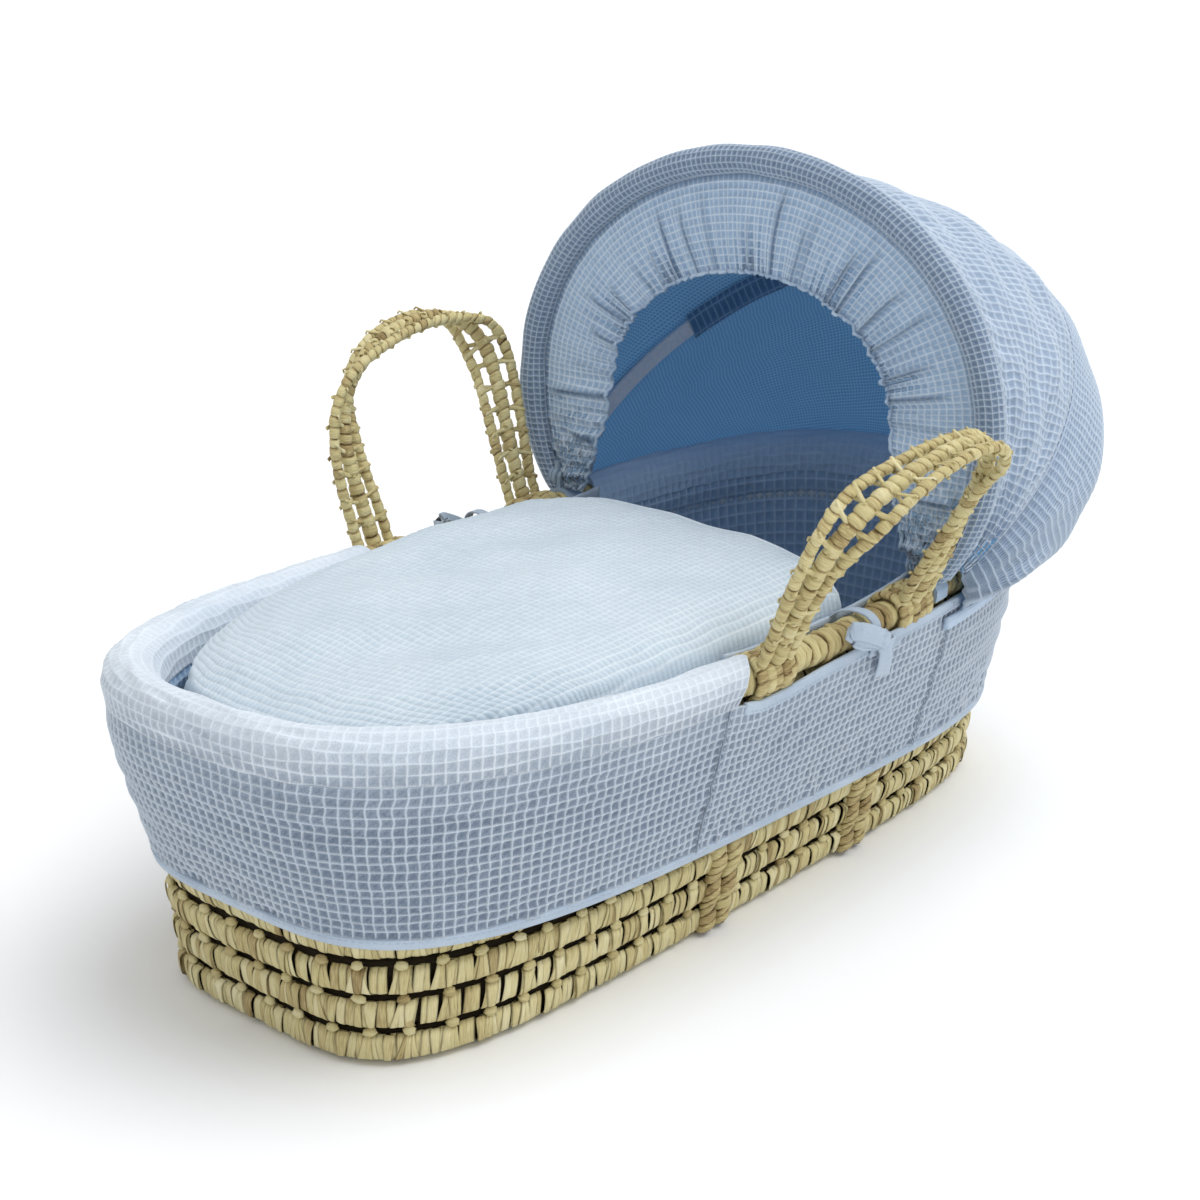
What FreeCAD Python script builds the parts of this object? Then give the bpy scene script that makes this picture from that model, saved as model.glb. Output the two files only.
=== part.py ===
import FreeCAD, Part
import math
import os
from FreeCAD import Placement, Rotation, Vector

# A moses basket: an oval palm basket with a fabric skirt and lining, two carrying handles,
# a mattress, a coverlet and a folding hood on two bows.
# Frame: +X towards the hood (head) end, +Z up, origin at the middle of the underside. Millimetres.

doc = FreeCAD.newDocument("moses_basket")
sheet = doc.addObject("Spreadsheet::Sheet", "dims")

SIZES = {
    # basket outline: half sizes at the base and the rim, and how the wall flares between them
    "base_half_length": 381.0,
    "base_half_width": 148.5,
    "rim_half_length": 428.0,
    "rim_half_width": 202.0,
    "rim_height": 237.0,
    "rim_rise": 20.0,
    "length_flare": 1.6,
    "width_flare": 1.15,
    "base_squareness": 4.45,
    "rim_squareness": 2.75,
    # palm wall, base and rim roll
    "wall_depth": 12.0,
    "course_pitch": 25.75,
    "course_total": 8,
    "course_groove": 3.0,
    "base_rounding": 9.0,
    "mat_height": 10.0,
    "roll_height": 218.0,
    "roll_radius": 11.5,
    "roll_inset": 5.0,
    # bands that run under the base and up both walls
    "band_foot_place": -64.0,
    "band_head_place": 117.0,
    "band_half_width": 22.0,
    "band_depth": 5.0,
    "band_top": 200.0,
    "knot_depth": 5.0,
    # fabric
    "cloth": 4.0,
    "skirt_hem": 87.0,
    "skirt_tilt": -0.035,
    "cloth_top": 208.0,
    "slit_start": -92.0,
    "slit_finish": 190.0,
    "slit_floor": 200.0,
    "slit_edge": 8.0,
    "seam_foot": -115.0,
    "seam_head": 170.0,
    "tie_place": 52.0,
    "tie_width": 10.0,
    "tie_out": 208.0,
    "knot_length": 16.0,
    "knot_thick": 8.0,
    "knot_tall": 11.0,
    "tail_width": 11.0,
    "tail_thick": 1.6,
    "tail_length": 34.0,
    "tail_slant": -16.0,
    # handles
    "handle_swing_y": 208.0,
    "handle_swing_z": 239.0,
    "handle_near_reach": 132.0,
    "handle_near_lean": 62.0,
    "handle_far_reach": 152.0,
    "handle_far_lean": 56.0,
    "handle_lean_head": 34.0,
    "handle_bulge": 12.0,
    "handle_fullness": 0.62,
    "cord_radius": 6.0,
    "cord_spacing": 17.0,
    # mattress
    "mattress_length": 706.0,
    "mattress_width": 246.0,
    "mattress_corner": 98.0,
    "mattress_depth": 38.0,
    "mattress_edge": 8.0,
    "ticking": 1.5,
    # coverlet
    "coverlet_head": 68.0,
    "coverlet_crown": 264.0,
    "coverlet_quilt": 14.0,
    "coverlet_gap": 0.5,
    # hood: both bows turn about one line across the basket
    "pivot_place": 157.0,
    "pivot_height": 244.0,
    "pivot_radius": 3.0,
    "pivot_play": 0.06,
    "hub_radius": 8.0,
    "front_lean": 4.2,
    "front_half_width": 245.0,
    "front_belly": 97.0,
    "front_crown": 209.6,
    "front_behind": 0.0,
    "rear_lean": 56.5,
    "rear_half_width": 216.0,
    "rear_belly": 97.0,
    "rear_crown": 258.4,
    "rear_behind": 11.7,
    "brim_radius": 12.0,
    "front_bow_radius": 4.0,
    "strip_width": 16.0,
    "strip_depth": 2.4,
    "sleeve_half_turn": 64.0,
    "ruffle_drop": 76.0,
    "ruffle_depth": 7.0,
    "canopy": 3.0,
    "hood_swell": 52.0,
    "hood_hem": 190.0,
    "hood_hem_rise": 9.0,
}
for row, (alias, size) in enumerate(SIZES.items(), start=1):
    sheet.set(f"A{row}", alias)
    sheet.set(f"B{row}", str(size))
    sheet.setAlias(f"B{row}", alias)
doc.recompute()

SIDES = {"near": -1, "far": 1}
OVAL_POINTS = 48
FAR_AWAY = 600.0
made = []


def size(alias):
    """Read one driving size from the sheet."""
    return float(sheet.get(alias))


def keep(name, shape):
    """Add a sub-part whose shape is computed from the sheet's sizes."""
    item = doc.addObject("Part::Feature", name)
    item.Label = name
    item.Shape = shape
    item.Placement = Placement()
    made.append(item)
    return item


def keep_object(name, item):
    """Count a parametric object as a sub-part under its own label."""
    item.Label = name
    made.append(item)
    return item


def smooth(points, closed):
    """One smooth edge through points."""
    curve = Part.BSplineCurve()
    if closed:
        curve.interpolate(Points=points, PeriodicFlag=True)
    else:
        curve.interpolate(Points=points)
    return curve.toShape()


def ruled_quad(a, b, c, d):
    return Part.makeRuledSurface(Part.makeLine(a, b), Part.makeLine(d, c))


def skin(runs, closed):
    """Closed solid with ruled faces between neighbouring long edges; the last joins the first."""
    edges = [smooth(points, closed) for points in runs]
    faces = [Part.makeRuledSurface(a, b) for a, b in zip(edges, edges[1:] + edges[:1])]
    if not closed:
        for end in (0, -1):
            ring = [points[end] for points in runs]
            for i in range(len(ring) // 2 - 1):
                faces.append(ruled_quad(ring[i], ring[i + 1], ring[-2 - i], ring[-1 - i]))
    shell = Part.makeCompound(faces)
    shell.sewShape()
    solid = Part.makeSolid(Part.Shell(shell.Faces))
    if solid.Volume < 0:
        solid.reverse()
    return solid


def block(low, high):
    """Box between two corners."""
    return Part.makeBox(high[0] - low[0], high[1] - low[1], high[2] - low[2], Vector(*low))


# ---------------------------------------------------------------- basket outline


def oval_point(turn, height, out_x, out_y, tilt=0.0, rise=None):
    """Point on the basket's outline at a height, moved out along and across the basket."""
    rise = size("rim_rise") if rise is None else rise
    cosine, sine = math.cos(turn), math.sin(turn)
    for _ in range(2):
        level = max(height, 0.0) / size("rim_height")
        power = size("base_squareness") + (size("rim_squareness") - size("base_squareness")) * level
        length = size("rim_half_length") - size("base_half_length")
        width = size("rim_half_width") - size("base_half_width")
        a = size("base_half_length") + length * level ** size("length_flare") + out_x
        b = size("base_half_width") + width * level ** size("width_flare") + out_y
        reach = (abs(cosine) ** power + abs(sine) ** power) ** (-1.0 / power)
        if tilt == 0.0:
            break
        height = height + tilt * a * reach * cosine
        tilt = 0.0
    x = a * reach * cosine
    return Vector(x, b * reach * sine, height + rise * level * level * (x / a) ** 2)


def oval(height, out_x, out_y, tilt=0.0, rise=None):
    turns = [2 * math.pi * i / OVAL_POINTS for i in range(OVAL_POINTS)]
    return [oval_point(turn, height, out_x, out_y, tilt, rise) for turn in turns]


def tilt_at(height):
    """The skirt's hem is tilted along the basket, and its top is level."""
    return size("skirt_tilt") * (size("cloth_top") - height) / (size("cloth_top") - size("skirt_hem"))


def ring(section, tilted=False):
    """Band round the basket. Its section is a list of (height, out) or (height, out_x, out_y)."""
    return skin([oval(p[0], p[1], p[-1], tilt_at(p[0]) if tilted else 0.0) for p in section],
                closed=True)


def course_heights(low, high):
    """Heights of the joints between wall courses that lie between two heights, with both."""
    joints = [size("course_pitch") * i for i in range(1, int(size("course_total")))]
    return [low] + [h for h in joints if low + 1.0 < h < high - 1.0] + [high]


def round_section(low_turn, high_turn, inner, outer, steps):
    """Part of a tube's section round the rim roll, in degrees from straight outwards."""
    turns = [math.radians(low_turn + (high_turn - low_turn) * i / steps) for i in range(steps + 1)]
    middle = -size("roll_inset")

    def spot(turn, radius):
        return (size("roll_height") + radius * math.sin(turn), middle + radius * math.cos(turn))

    return [spot(t, outer) for t in turns] + [spot(t, inner) for t in reversed(turns)]


def roll_body(radius):
    """Solid roll along the rim, eight-sided in section."""
    return ring(round_section(-90, 225, 0.0, radius, 7)[:8])


def along(low, high, side=None):
    """Slab between two places along the basket, on one side of it or on both."""
    low_y = 0.0 if side == "far" else -FAR_AWAY
    high_y = 0.0 if side == "near" else FAR_AWAY
    return block((low, low_y, -FAR_AWAY), (high, high_y, FAR_AWAY))


# ---------------------------------------------------------------- palm basket


def bands():
    """U-shaped bands up both walls and under the base, flush with the underside."""
    heights = course_heights(0.0, size("band_top"))
    outer = 0.3 + size("band_depth")
    hoop = ring([(h, 0.3) for h in heights] + [(h, outer) for h in reversed(heights)])
    half = size("band_half_width")
    shapes = {}
    for end in ("foot", "head"):
        place = size(f"band_{end}_place")
        sides = hoop.common(along(place - half, place + half))
        reach = size("base_half_width") + 0.3
        under = block((place - half, -reach, 0.0), (place + half, reach, size("band_depth")))
        shapes[end] = under.fuse(sides).removeSplitter()
    return shapes


def palm_base(band_shapes):
    floor = Part.Face(Part.Wire(smooth(oval(0.0, -size("wall_depth"), -size("wall_depth")), True)))
    mat = floor.extrude(Vector(0, 0, size("mat_height")))
    for shape in band_shapes.values():
        mat = mat.cut(shape)
    keep("base_mat", mat)


def palm_wall(band_shapes):
    pitch = size("course_pitch")
    depth = size("wall_depth")
    groove = size("course_groove")
    for course in range(int(size("course_total"))):
        low = course * pitch
        high = low + pitch
        foot = size("base_rounding") if course == 0 else groove
        section = [(low, -foot), (low + 0.3 * pitch, 0.0), (high - 0.3 * pitch, 0.0),
                   (high, -groove), (high, -depth), (low, -depth)]
        shape = ring(section)
        if course == 0:
            for band_shape in band_shapes.values():
                shape = shape.cut(band_shape)
        keep(f"wall_course_{course + 1}", shape)
    keep("rim_roll", roll_body(size("roll_radius")))


def knots():
    inner = size("roll_radius") + 0.5
    wrap = ring(round_section(-60, 200, inner, inner + size("knot_depth"), 8))
    half = size("band_half_width")
    for side in SIDES:
        for end in ("foot", "head"):
            place = size(f"band_{end}_place")
            keep(f"handle_knot_{side}_{end}", wrap.common(along(place - half, place + half, side)))


# ---------------------------------------------------------------- fabric of the basket


def skirt():
    cloth = size("cloth")
    hem = size("skirt_hem")
    drop = size("cloth_top") - hem
    inner = [(hem, 0.8, 6.0), (hem + 0.22 * drop, 4.5, 7.5), (hem + 0.55 * drop, 10.0, 9.5),
             (hem + 0.84 * drop, 12.0, 10.5), (size("cloth_top"), 9.0, 9.5)]
    section = inner + [(h, x + cloth, y + cloth) for h, x, y in reversed(inner)]
    whole = ring(section, tilted=True)
    slit = along(size("slit_start"), size("slit_finish"))
    floor = size("slit_floor")
    above = block((-FAR_AWAY, -FAR_AWAY, floor), (FAR_AWAY, FAR_AWAY, FAR_AWAY))
    opened = whole.cut(slit.common(above))
    keep("skirt_foot_panel", opened.common(along(-FAR_AWAY, size("seam_foot"))))
    keep("skirt_head_panel", opened.common(along(size("seam_head"), FAR_AWAY)))
    edge = block((-FAR_AWAY, -FAR_AWAY, floor), (FAR_AWAY, FAR_AWAY, floor + size("slit_edge")))
    for side in SIDES:
        keep(f"skirt_panel_{side}", opened.common(along(size("seam_foot"), size("seam_head"), side)))
        binding = along(size("slit_start"), size("slit_finish"), side).common(edge)
        keep(f"skirt_slit_binding_{side}", whole.common(binding))
    fold = [(hem - 10.0, 0.6, 5.6), (hem - 0.2, 0.6, 5.6),
            (hem - 0.2, cloth + 1.0, cloth + 6.4), (hem - 10.0, cloth + 1.0, cloth + 6.4)]
    keep("skirt_hem_binding", ring(fold, tilted=True))


def lining():
    low, top = 12.0, size("cloth_top")
    heights = course_heights(low, top - 22.0)
    outer = [(h, -13.0) for h in heights] + [(top - 9.0, -22.6), (top, -22.6)]
    inner = [(top, -26.0), (top - 9.0, -26.0)] + [(h, -16.5) for h in reversed(heights)]
    keep("lining", ring(outer + inner))
    crest = top + 25.0
    edge = ring([(top + 0.2, -22.6), (crest, -22.6), (crest, -26.0), (top + 0.2, -26.0)])
    for side in SIDES:
        keep(f"lining_slit_binding_{side}",
             edge.common(along(size("slit_start"), size("slit_finish"), side)))


def rim_pads():
    """Padded fabric roll over the rim, at both ends, between the slits."""
    top = 0.2 + size("cloth_top") - size("roll_height")
    outer = [(top, 13.0), (4.0, 13.2), (14.0, 8.0), (20.0, -2.0), (20.0, -10.0),
             (14.5, -20.0), (4.0, -25.6), (top, -26.0)]
    inner = [(top, -22.6), (2.0, -21.6), (10.0, -16.5), (13.5, -9.0), (13.5, -2.0),
             (9.5, 6.0), (2.0, 8.8), (top, 9.2)]
    pad = ring([(size("roll_height") + up, out) for up, out in outer + inner])
    keep("rim_pad_foot", pad.common(along(-FAR_AWAY, size("slit_start") - 0.3)))
    keep("rim_pad_head", pad.common(along(size("slit_finish") + 0.3, FAR_AWAY)))


def ties():
    """Tapes tied over the rim roll, holding each slit together."""
    crest = size("cloth_top") + 25.0
    outer = [(crest - 33.0, 15.5), (crest - 13.0, 15.0), (crest + 1.5, 5.0), (crest + 4.0, -6.0),
             (crest + 2.0, -26.0)]
    inner = [(h - 0.6, out - 1.4) for h, out in reversed(outer[1:-1])]
    tape = ring(outer + [(crest + 0.6, -25.0)] + inner + [(crest - 33.0, 14.1)])
    place = size("tie_place")
    half = 0.5 * size("tie_width")
    knot = Part.makeBox(size("knot_length"), size("knot_thick"), size("knot_tall"))
    knot = knot.makeFillet(0.27 * size("knot_tall"), knot.Edges)
    tail = Part.makeBox(size("tail_width"), size("tail_thick"), size("tail_length"))
    tail.rotate(Vector(0, 0, size("tail_length")), Vector(0, 1, 0), size("tail_slant"))
    for side, sign in SIDES.items():
        strap = tape.common(along(place - half, place + half, side))
        inwards = -size("knot_thick") if sign < 0 else 0.0
        bow = knot.translated(Vector(place - 0.5 * size("knot_length"), inwards, crest - 21.0))
        hanging = tail.translated(Vector(place - 2.0, -5.0 if sign < 0 else 3.4, crest - 51.0))
        lump = bow.fuse(hanging).translated(Vector(0, sign * size("tie_out"), 0))
        keep(f"tie_{side}", strap.fuse(lump))


# ---------------------------------------------------------------- handles


def handle_line(side, step):
    """Middle of a handle's band, from the foot leg (0) over the top to the head leg (1)."""
    foot, head = size("band_foot_place"), size("band_head_place")
    turn = math.pi * step
    rise = math.sin(turn) ** size("handle_fullness")
    swell = size("handle_bulge") * math.sin(2 * turn)
    x = 0.5 * (foot + head) - 0.5 * (head - foot) * math.cos(turn) - swell
    x = x + size("handle_lean_head") * math.sin(turn) ** 2
    y = SIDES[side] * (size("handle_swing_y") + size(f"handle_{side}_lean") * rise)
    return Vector(x, y, size("handle_swing_z") + 2.0 + size(f"handle_{side}_reach") * rise)


def handle_frames(side, steps=36):
    """Points of the band with its width direction, which turns flat across at the top."""
    frames = []
    for i in range(steps + 1):
        step = 0.5 - 0.5 * math.cos(math.pi * i / steps)
        here = handle_line(side, step)
        ahead = handle_line(side, min(step + 0.002, 1.0)) - handle_line(side, max(step - 0.002, 0.0))
        ahead.normalize()
        turn = math.pi * step
        wide = Vector(math.cos(turn), SIDES[side] * math.sin(turn), 0)
        wide = wide - ahead * wide.dot(ahead)
        wide.normalize()
        frames.append((here, wide, ahead.cross(wide)))
    return frames


def handles():
    spacing, radius = size("cord_spacing"), size("cord_radius")
    for side in SIDES:
        frames = handle_frames(side)
        for cord in range(3):
            runs = []
            for corner in range(8):
                turn = 2 * math.pi * (corner + 0.5) / 8
                across = (cord - 1) * spacing + radius * math.cos(turn)
                runs.append([p + w * across + n * radius * math.sin(turn) for p, w, n in frames])
            keep(f"handle_{side}_cord_{cord + 1}", skin(runs, closed=False))
        webs = []
        for web in range(2):
            middle = (web - 0.5) * spacing
            half = 0.5 * spacing - radius - 0.1
            corners = [(middle - half, -1.5), (middle + half, -1.5), (middle + half, 1.5),
                       (middle - half, 1.5)]
            runs = [[p + w * across + n * deep for p, w, n in frames] for across, deep in corners]
            webs.append(skin(runs, closed=False))
        keep(f"handle_{side}_lacing", Part.makeCompound(webs))


# ---------------------------------------------------------------- mattress and coverlet


def rounded_pad(name, grow):
    """PartDesign body: a rounded slab, larger all round by grow."""
    body = doc.addObject("PartDesign::Body", name)
    slab = body.newObject("PartDesign::AdditiveBox", f"{name}_slab")
    slab.setExpression("Length", f"dims.mattress_length + 2 * {grow}")
    slab.setExpression("Width", f"dims.mattress_width + 2 * {grow}")
    slab.setExpression("Height", f"dims.mattress_depth - 2 * dims.ticking + 2 * {grow}")
    doc.recompute()
    upright = [f"Edge{i + 1}" for i, edge in enumerate(slab.Shape.Edges)
               if abs(edge.tangentAt(edge.FirstParameter).z) > 0.9]
    corners = body.newObject("PartDesign::Fillet", f"{name}_corners")
    corners.Base = (slab, upright)
    corners.setExpression("Radius", f"dims.mattress_corner + {grow}")
    doc.recompute()
    top = max(corners.Shape.BoundBox.ZMax, 0.0)
    round_top = [f"Edge{i + 1}" for i, edge in enumerate(corners.Shape.Edges)
                 if edge.BoundBox.ZMin > top - 0.01]
    edges = body.newObject("PartDesign::Fillet", f"{name}_edges")
    edges.Base = (corners, round_top)
    edges.setExpression("Radius", "dims.mattress_edge")
    body.setExpression("Placement.Base.x", f"-dims.mattress_length / 2 - {grow}")
    body.setExpression("Placement.Base.y", f"-dims.mattress_width / 2 - {grow}")
    body.setExpression("Placement.Base.z", f"dims.mat_height + dims.ticking - {grow}")
    return body


def mattress():
    core = keep_object("mattress_core", rounded_pad("mattress_core", "0"))
    outside = rounded_pad("mattress_outside", "dims.ticking")
    cover = doc.addObject("Part::Cut", "mattress_cover")
    cover.Base = outside
    cover.Tool = core
    keep_object("mattress_cover", cover)


def dome(levels):
    """Closed form through flat ovals, each a (height, out) pair, from the bottom up."""
    wires = [Part.Wire(smooth(oval(h, out, out, rise=0.0), True)) for h, out in levels]
    return Part.makeLoft(wires, True, True)


def coverlet():
    crown, quilt = size("coverlet_crown"), size("coverlet_quilt")
    foot = size("mat_height") + size("mattress_depth") + size("coverlet_gap")
    outside = dome([(foot, -34.0), (crown - 74.0, -40.0), (crown - 39.0, -43.0),
                    (crown - 21.0, -50.0), (crown - 8.0, -69.0), (crown, -102.0)])
    inside = dome([(foot - 5.0, -34.0 - quilt), (crown - 74.0, -40.0 - quilt),
                   (crown - 49.0, -59.0), (crown - 33.0, -69.0), (crown - 21.0, -92.0),
                   (crown - quilt, -116.0)])
    whole = outside.cut(inside)
    keep("coverlet", whole.common(along(-FAR_AWAY, size("coverlet_head"))))
    lip = 8.0
    head = size("coverlet_head")
    keep("coverlet_head_binding", whole.common(along(head + 0.1, head + lip)))


# ---------------------------------------------------------------- hood


def bow_point(kind, turn, out=0.0, behind=0.0):
    """Point of a bow's curve: turn 0 near side, pi far side, negative below the widest place."""
    lean = math.radians(size(f"{kind}_lean"))
    width = size(f"{kind}_half_width") + out
    crown = size(f"{kind}_crown") + out
    if math.sin(turn) >= 0:
        up = size(f"{kind}_belly") + crown * math.sin(turn)
    else:
        up = size(f"{kind}_belly") + size(f"{kind}_crown") * math.sin(turn)
    y = -width * math.cos(turn)
    behind = behind + size(f"{kind}_behind")
    x = size("pivot_place") + up * math.sin(lean) + behind * math.cos(lean)
    return Vector(x, y, size("pivot_height") + up * math.cos(lean) - behind * math.sin(lean))


def bow_turns(kind, start, steps=40):
    """Turns along a bow that begins and ends a distance above the pivot line."""
    low = math.asin((start - size(f"{kind}_belly")) / size(f"{kind}_crown"))
    return [low + (math.pi - 2 * low) * i / steps for i in range(steps + 1)]


def bow_tube(kind, turns, corners, out=0.0):
    """Bar along a bow; corners are (out, behind) pairs of its section."""
    runs = [[bow_point(kind, turn, out + o, b) for turn in turns] for o, b in corners]
    return skin(runs, closed=False)


def circle_corners(radius, total=8):
    turns = [2 * math.pi * (i + 0.5) / total for i in range(total)]
    return [(radius * math.cos(turn), radius * math.sin(turn)) for turn in turns]


def box_corners(half_out, half_behind):
    return [(-half_out, -half_behind), (half_out, -half_behind),
            (half_out, half_behind), (-half_out, half_behind)]


def bows():
    brim, rod = size("brim_radius"), size("front_bow_radius")
    rod_turns = bow_turns("front", 14.0)
    keep("front_bow", bow_tube("front", rod_turns, circle_corners(rod), -brim))
    roll_turns = bow_turns("front", 24.0)
    roll = bow_tube("front", roll_turns, circle_corners(brim), -brim)
    bore = bow_tube("front", bow_turns("front", 12.0), circle_corners(rod + 0.4), -brim)
    keep("brim_roll", roll.cut(bore))
    half = 0.5 * size("strip_width")
    deep = 0.5 * size("strip_depth")
    keep("rear_bow", bow_tube("rear", bow_turns("rear", 14.0), box_corners(deep, half), -deep))
    span = math.radians(size("sleeve_half_turn"))
    inner_turns = [math.pi / 2 - span * 1.1 + 2.2 * span * i / 16 for i in range(17)]
    outer_turns = [math.pi / 2 - span + 2 * span * i / 16 for i in range(17)]
    tunnel = bow_tube("rear", inner_turns, box_corners(deep + 0.2, half + 0.2), -deep)
    cover = bow_tube("rear", outer_turns, box_corners(deep + 1.6, half + 3.0), -deep)
    keep("bow_sleeve", cover.cut(tunnel))


def ruffle():
    inset = 2 * size("brim_radius") + 0.6
    drop, half = size("ruffle_drop"), 0.5 * size("ruffle_depth")
    turns = bow_turns("front", 60.0)
    corners = [(-inset, -half), (-inset, half), (-inset - drop, half), (-inset - drop, -half)]
    keep("ruffle", bow_tube("front", turns, corners))
    edge = -inset - drop - 2.2
    keep("ruffle_elastic", bow_tube("front", turns, circle_corners(2.0), edge))


def hinge_parts():
    """Saddle on the rim roll, pin and two hinge plates on each side."""
    place, height = size("pivot_place"), size("pivot_height")
    pin, play, hub = size("pivot_radius"), size("pivot_play"), size("hub_radius")
    inner = size("roll_radius") + 0.5
    saddle = ring(round_section(-10, 180, inner, inner + 3.5, 6))
    rod_place = bow_point("front", bow_turns("front", 14.0)[0], -size("brim_radius"))
    strip_place = bow_point("rear", bow_turns("rear", 14.0)[0], -0.5 * size("strip_depth"))
    layers = {"lug": (191.0, 195.0), "front": (195.6, 199.6), "rear": (200.2, 203.4)}
    for side, sign in SIDES.items():

        def plate(low, high):
            """Low and high distance from the middle, as ordered places across."""
            return (low, high) if sign > 0 else (-high, -low)

        def disc(radius, low, high):
            start = plate(low, high)[0]
            return Part.makeCylinder(radius, high - low, Vector(place, start, height), Vector(0, 1, 0))

        low, high = plate(*layers["lug"])
        post = block((place - 6.0, low, height - 18.0), (place + 6.0, high, height))
        base = saddle.common(along(place - 9.0, place + 9.0, side))
        lug = base.fuse(post.cut(roll_body(inner)))
        lug = lug.fuse(disc(6.0, *layers["lug"]))
        keep(f"bow_bracket_{side}", lug.cut(disc(pin, 180.0, 210.0)))

        low, high = plate(*layers["front"])
        top = rod_place.z - 0.3
        tab = block((rod_place.x - 4.5, low, height), (rod_place.x + 4.5, high, top))
        arm = disc(hub, *layers["front"]).fuse(tab)
        keep(f"front_hinge_plate_{side}", arm.cut(disc(pin + play, 180.0, 210.0)))

        low, high = plate(*layers["rear"])
        reach = (strip_place - Vector(place, strip_place.y, height)).Length
        behind = size("rear_behind")
        tab = block((place - 6.0, low, height + 6.0), (place + behind + 5.0, high, height + reach - 5.0))
        tab.rotate(Vector(place, 0, height), Vector(0, 1, 0), size("rear_lean"))
        arm = disc(hub, *layers["rear"]).fuse(tab)
        keep(f"rear_hinge_plate_{side}", arm.cut(disc(pin + play, 180.0, 210.0)))

        rivet = doc.addObject("Part::Cylinder", f"bow_pin_{side}")
        rivet.setExpression("Radius", "dims.pivot_radius")
        rivet.Height = 15.0
        rivet.setExpression("Placement.Base.x", "dims.pivot_place")
        rivet.setExpression("Placement.Base.z", "dims.pivot_height")
        rivet.Placement = Placement(Vector(place, plate(190.0, 205.0)[0], height),
                                    Rotation(Vector(1, 0, 0), -90))
        keep_object(f"bow_pin_{side}", rivet)


def hood_sheet(rows, inward):
    """Thin closed solid through rows of points, each offset inwards by the canopy's thickness."""
    inner = [[p + d * size("canopy") for p, d in zip(row, drift)] for row, drift in zip(rows, inward)]
    return skin(rows + inner[::-1], closed=False)


def canopies():
    steps = 40
    middle = Vector(size("pivot_place") + 90.0, 0, size("pivot_height") + 20.0)

    def inwards(p):
        pull = Vector(0.8 * (middle.x - p.x), middle.y - p.y, middle.z - p.z)
        return pull.normalize()

    front = [bow_point("front", turn, 0.0, size("brim_radius") + 1.0)
             for turn in bow_turns("front", 30.0, steps)]
    over = [bow_point("rear", turn, 12.0) for turn in bow_turns("rear", 30.0, steps)]
    between = [f * 0.5 + r * 0.5 for f, r in zip(front, over)]
    between = [p - inwards(p) * 7.0 for p in between]
    rows = [front, between, over]
    keep("front_canopy", hood_sheet(rows, [[inwards(p) for p in row] for row in rows]))

    hem_height = size("hood_hem") + size("hood_hem_rise") + 0.3
    start = -math.acos(0.40)
    turns = [start - 2 * start * i / steps for i in range(steps + 1)]
    hem = [oval_point(turn, hem_height, 20.5, 19.5) for turn in turns]
    rear = []
    for v in (0.0, 0.3, 0.65, 1.0):
        row = []
        for i, (top, low) in enumerate(zip(over, hem)):
            p = top * (1 - v) + low * v
            swell = size("hood_swell") * math.sin(math.pi * v) * math.sin(math.pi * i / steps) ** 0.4
            row.append(p - inwards(p) * swell)
        rear.append(row)
    keep("rear_canopy", hood_sheet(rear, [[inwards(p) for p in row] for row in rear]))

    low, high = size("hood_hem"), size("hood_hem") + size("hood_hem_rise")
    cuff = ring([(low, 16.6, 15.4), (high, 16.6, 15.4), (high, 21.0, 20.0), (low, 21.0, 20.0)])
    keep("hood_hem_binding", cuff.common(along(size("pivot_place") - 4.0, FAR_AWAY)))


band_shapes = bands()
for end, shape in band_shapes.items():
    keep(f"handle_band_{end}", shape)
palm_base(band_shapes)
palm_wall(band_shapes)
knots()
skirt()
lining()
rim_pads()
ties()
handles()
mattress()
coverlet()
bows()
ruffle()
hinge_parts()
canopies()

doc.recompute()
for item in doc.Objects:
    if "Invalid" in item.State or "Error" in item.State:
        raise RuntimeError(f"{item.Name} failed: {item.State}")
for item in made:
    if item.Shape.isNull() or not item.Shape.isValid():
        raise RuntimeError(f"{item.Label} has no valid shape")

os.makedirs("parts", exist_ok=True)
for item in made:
    item.Shape.exportStep(f"parts/{item.Label}.step")
    print(f"{item.Label}: {len(item.Shape.Solids)} solid, {item.Shape.Volume / 1000:.1f} cm3")
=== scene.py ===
import math

import bpy
import numpy as np
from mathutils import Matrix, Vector


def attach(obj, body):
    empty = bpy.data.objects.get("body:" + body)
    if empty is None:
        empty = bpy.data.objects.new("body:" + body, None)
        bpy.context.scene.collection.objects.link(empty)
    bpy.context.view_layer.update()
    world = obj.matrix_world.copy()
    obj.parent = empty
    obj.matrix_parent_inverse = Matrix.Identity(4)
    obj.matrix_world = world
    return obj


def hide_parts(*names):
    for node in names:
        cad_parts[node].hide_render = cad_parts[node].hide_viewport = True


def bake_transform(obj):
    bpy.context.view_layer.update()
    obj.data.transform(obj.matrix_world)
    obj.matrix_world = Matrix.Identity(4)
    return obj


# Looks of the moses basket: palm wall and handles, waffle-weave skirt, lining, coverlet and hood.
# Sizes below are millimetres in the shared frame. Pile.make writes meshes in metres.

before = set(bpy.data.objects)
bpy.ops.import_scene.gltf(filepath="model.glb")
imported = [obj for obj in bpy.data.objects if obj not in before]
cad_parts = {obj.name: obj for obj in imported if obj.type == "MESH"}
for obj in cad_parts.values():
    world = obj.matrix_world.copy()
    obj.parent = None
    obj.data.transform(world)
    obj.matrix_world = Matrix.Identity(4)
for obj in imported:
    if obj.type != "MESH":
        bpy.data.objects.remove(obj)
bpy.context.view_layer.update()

# ---- sizes shared with the CAD

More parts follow.
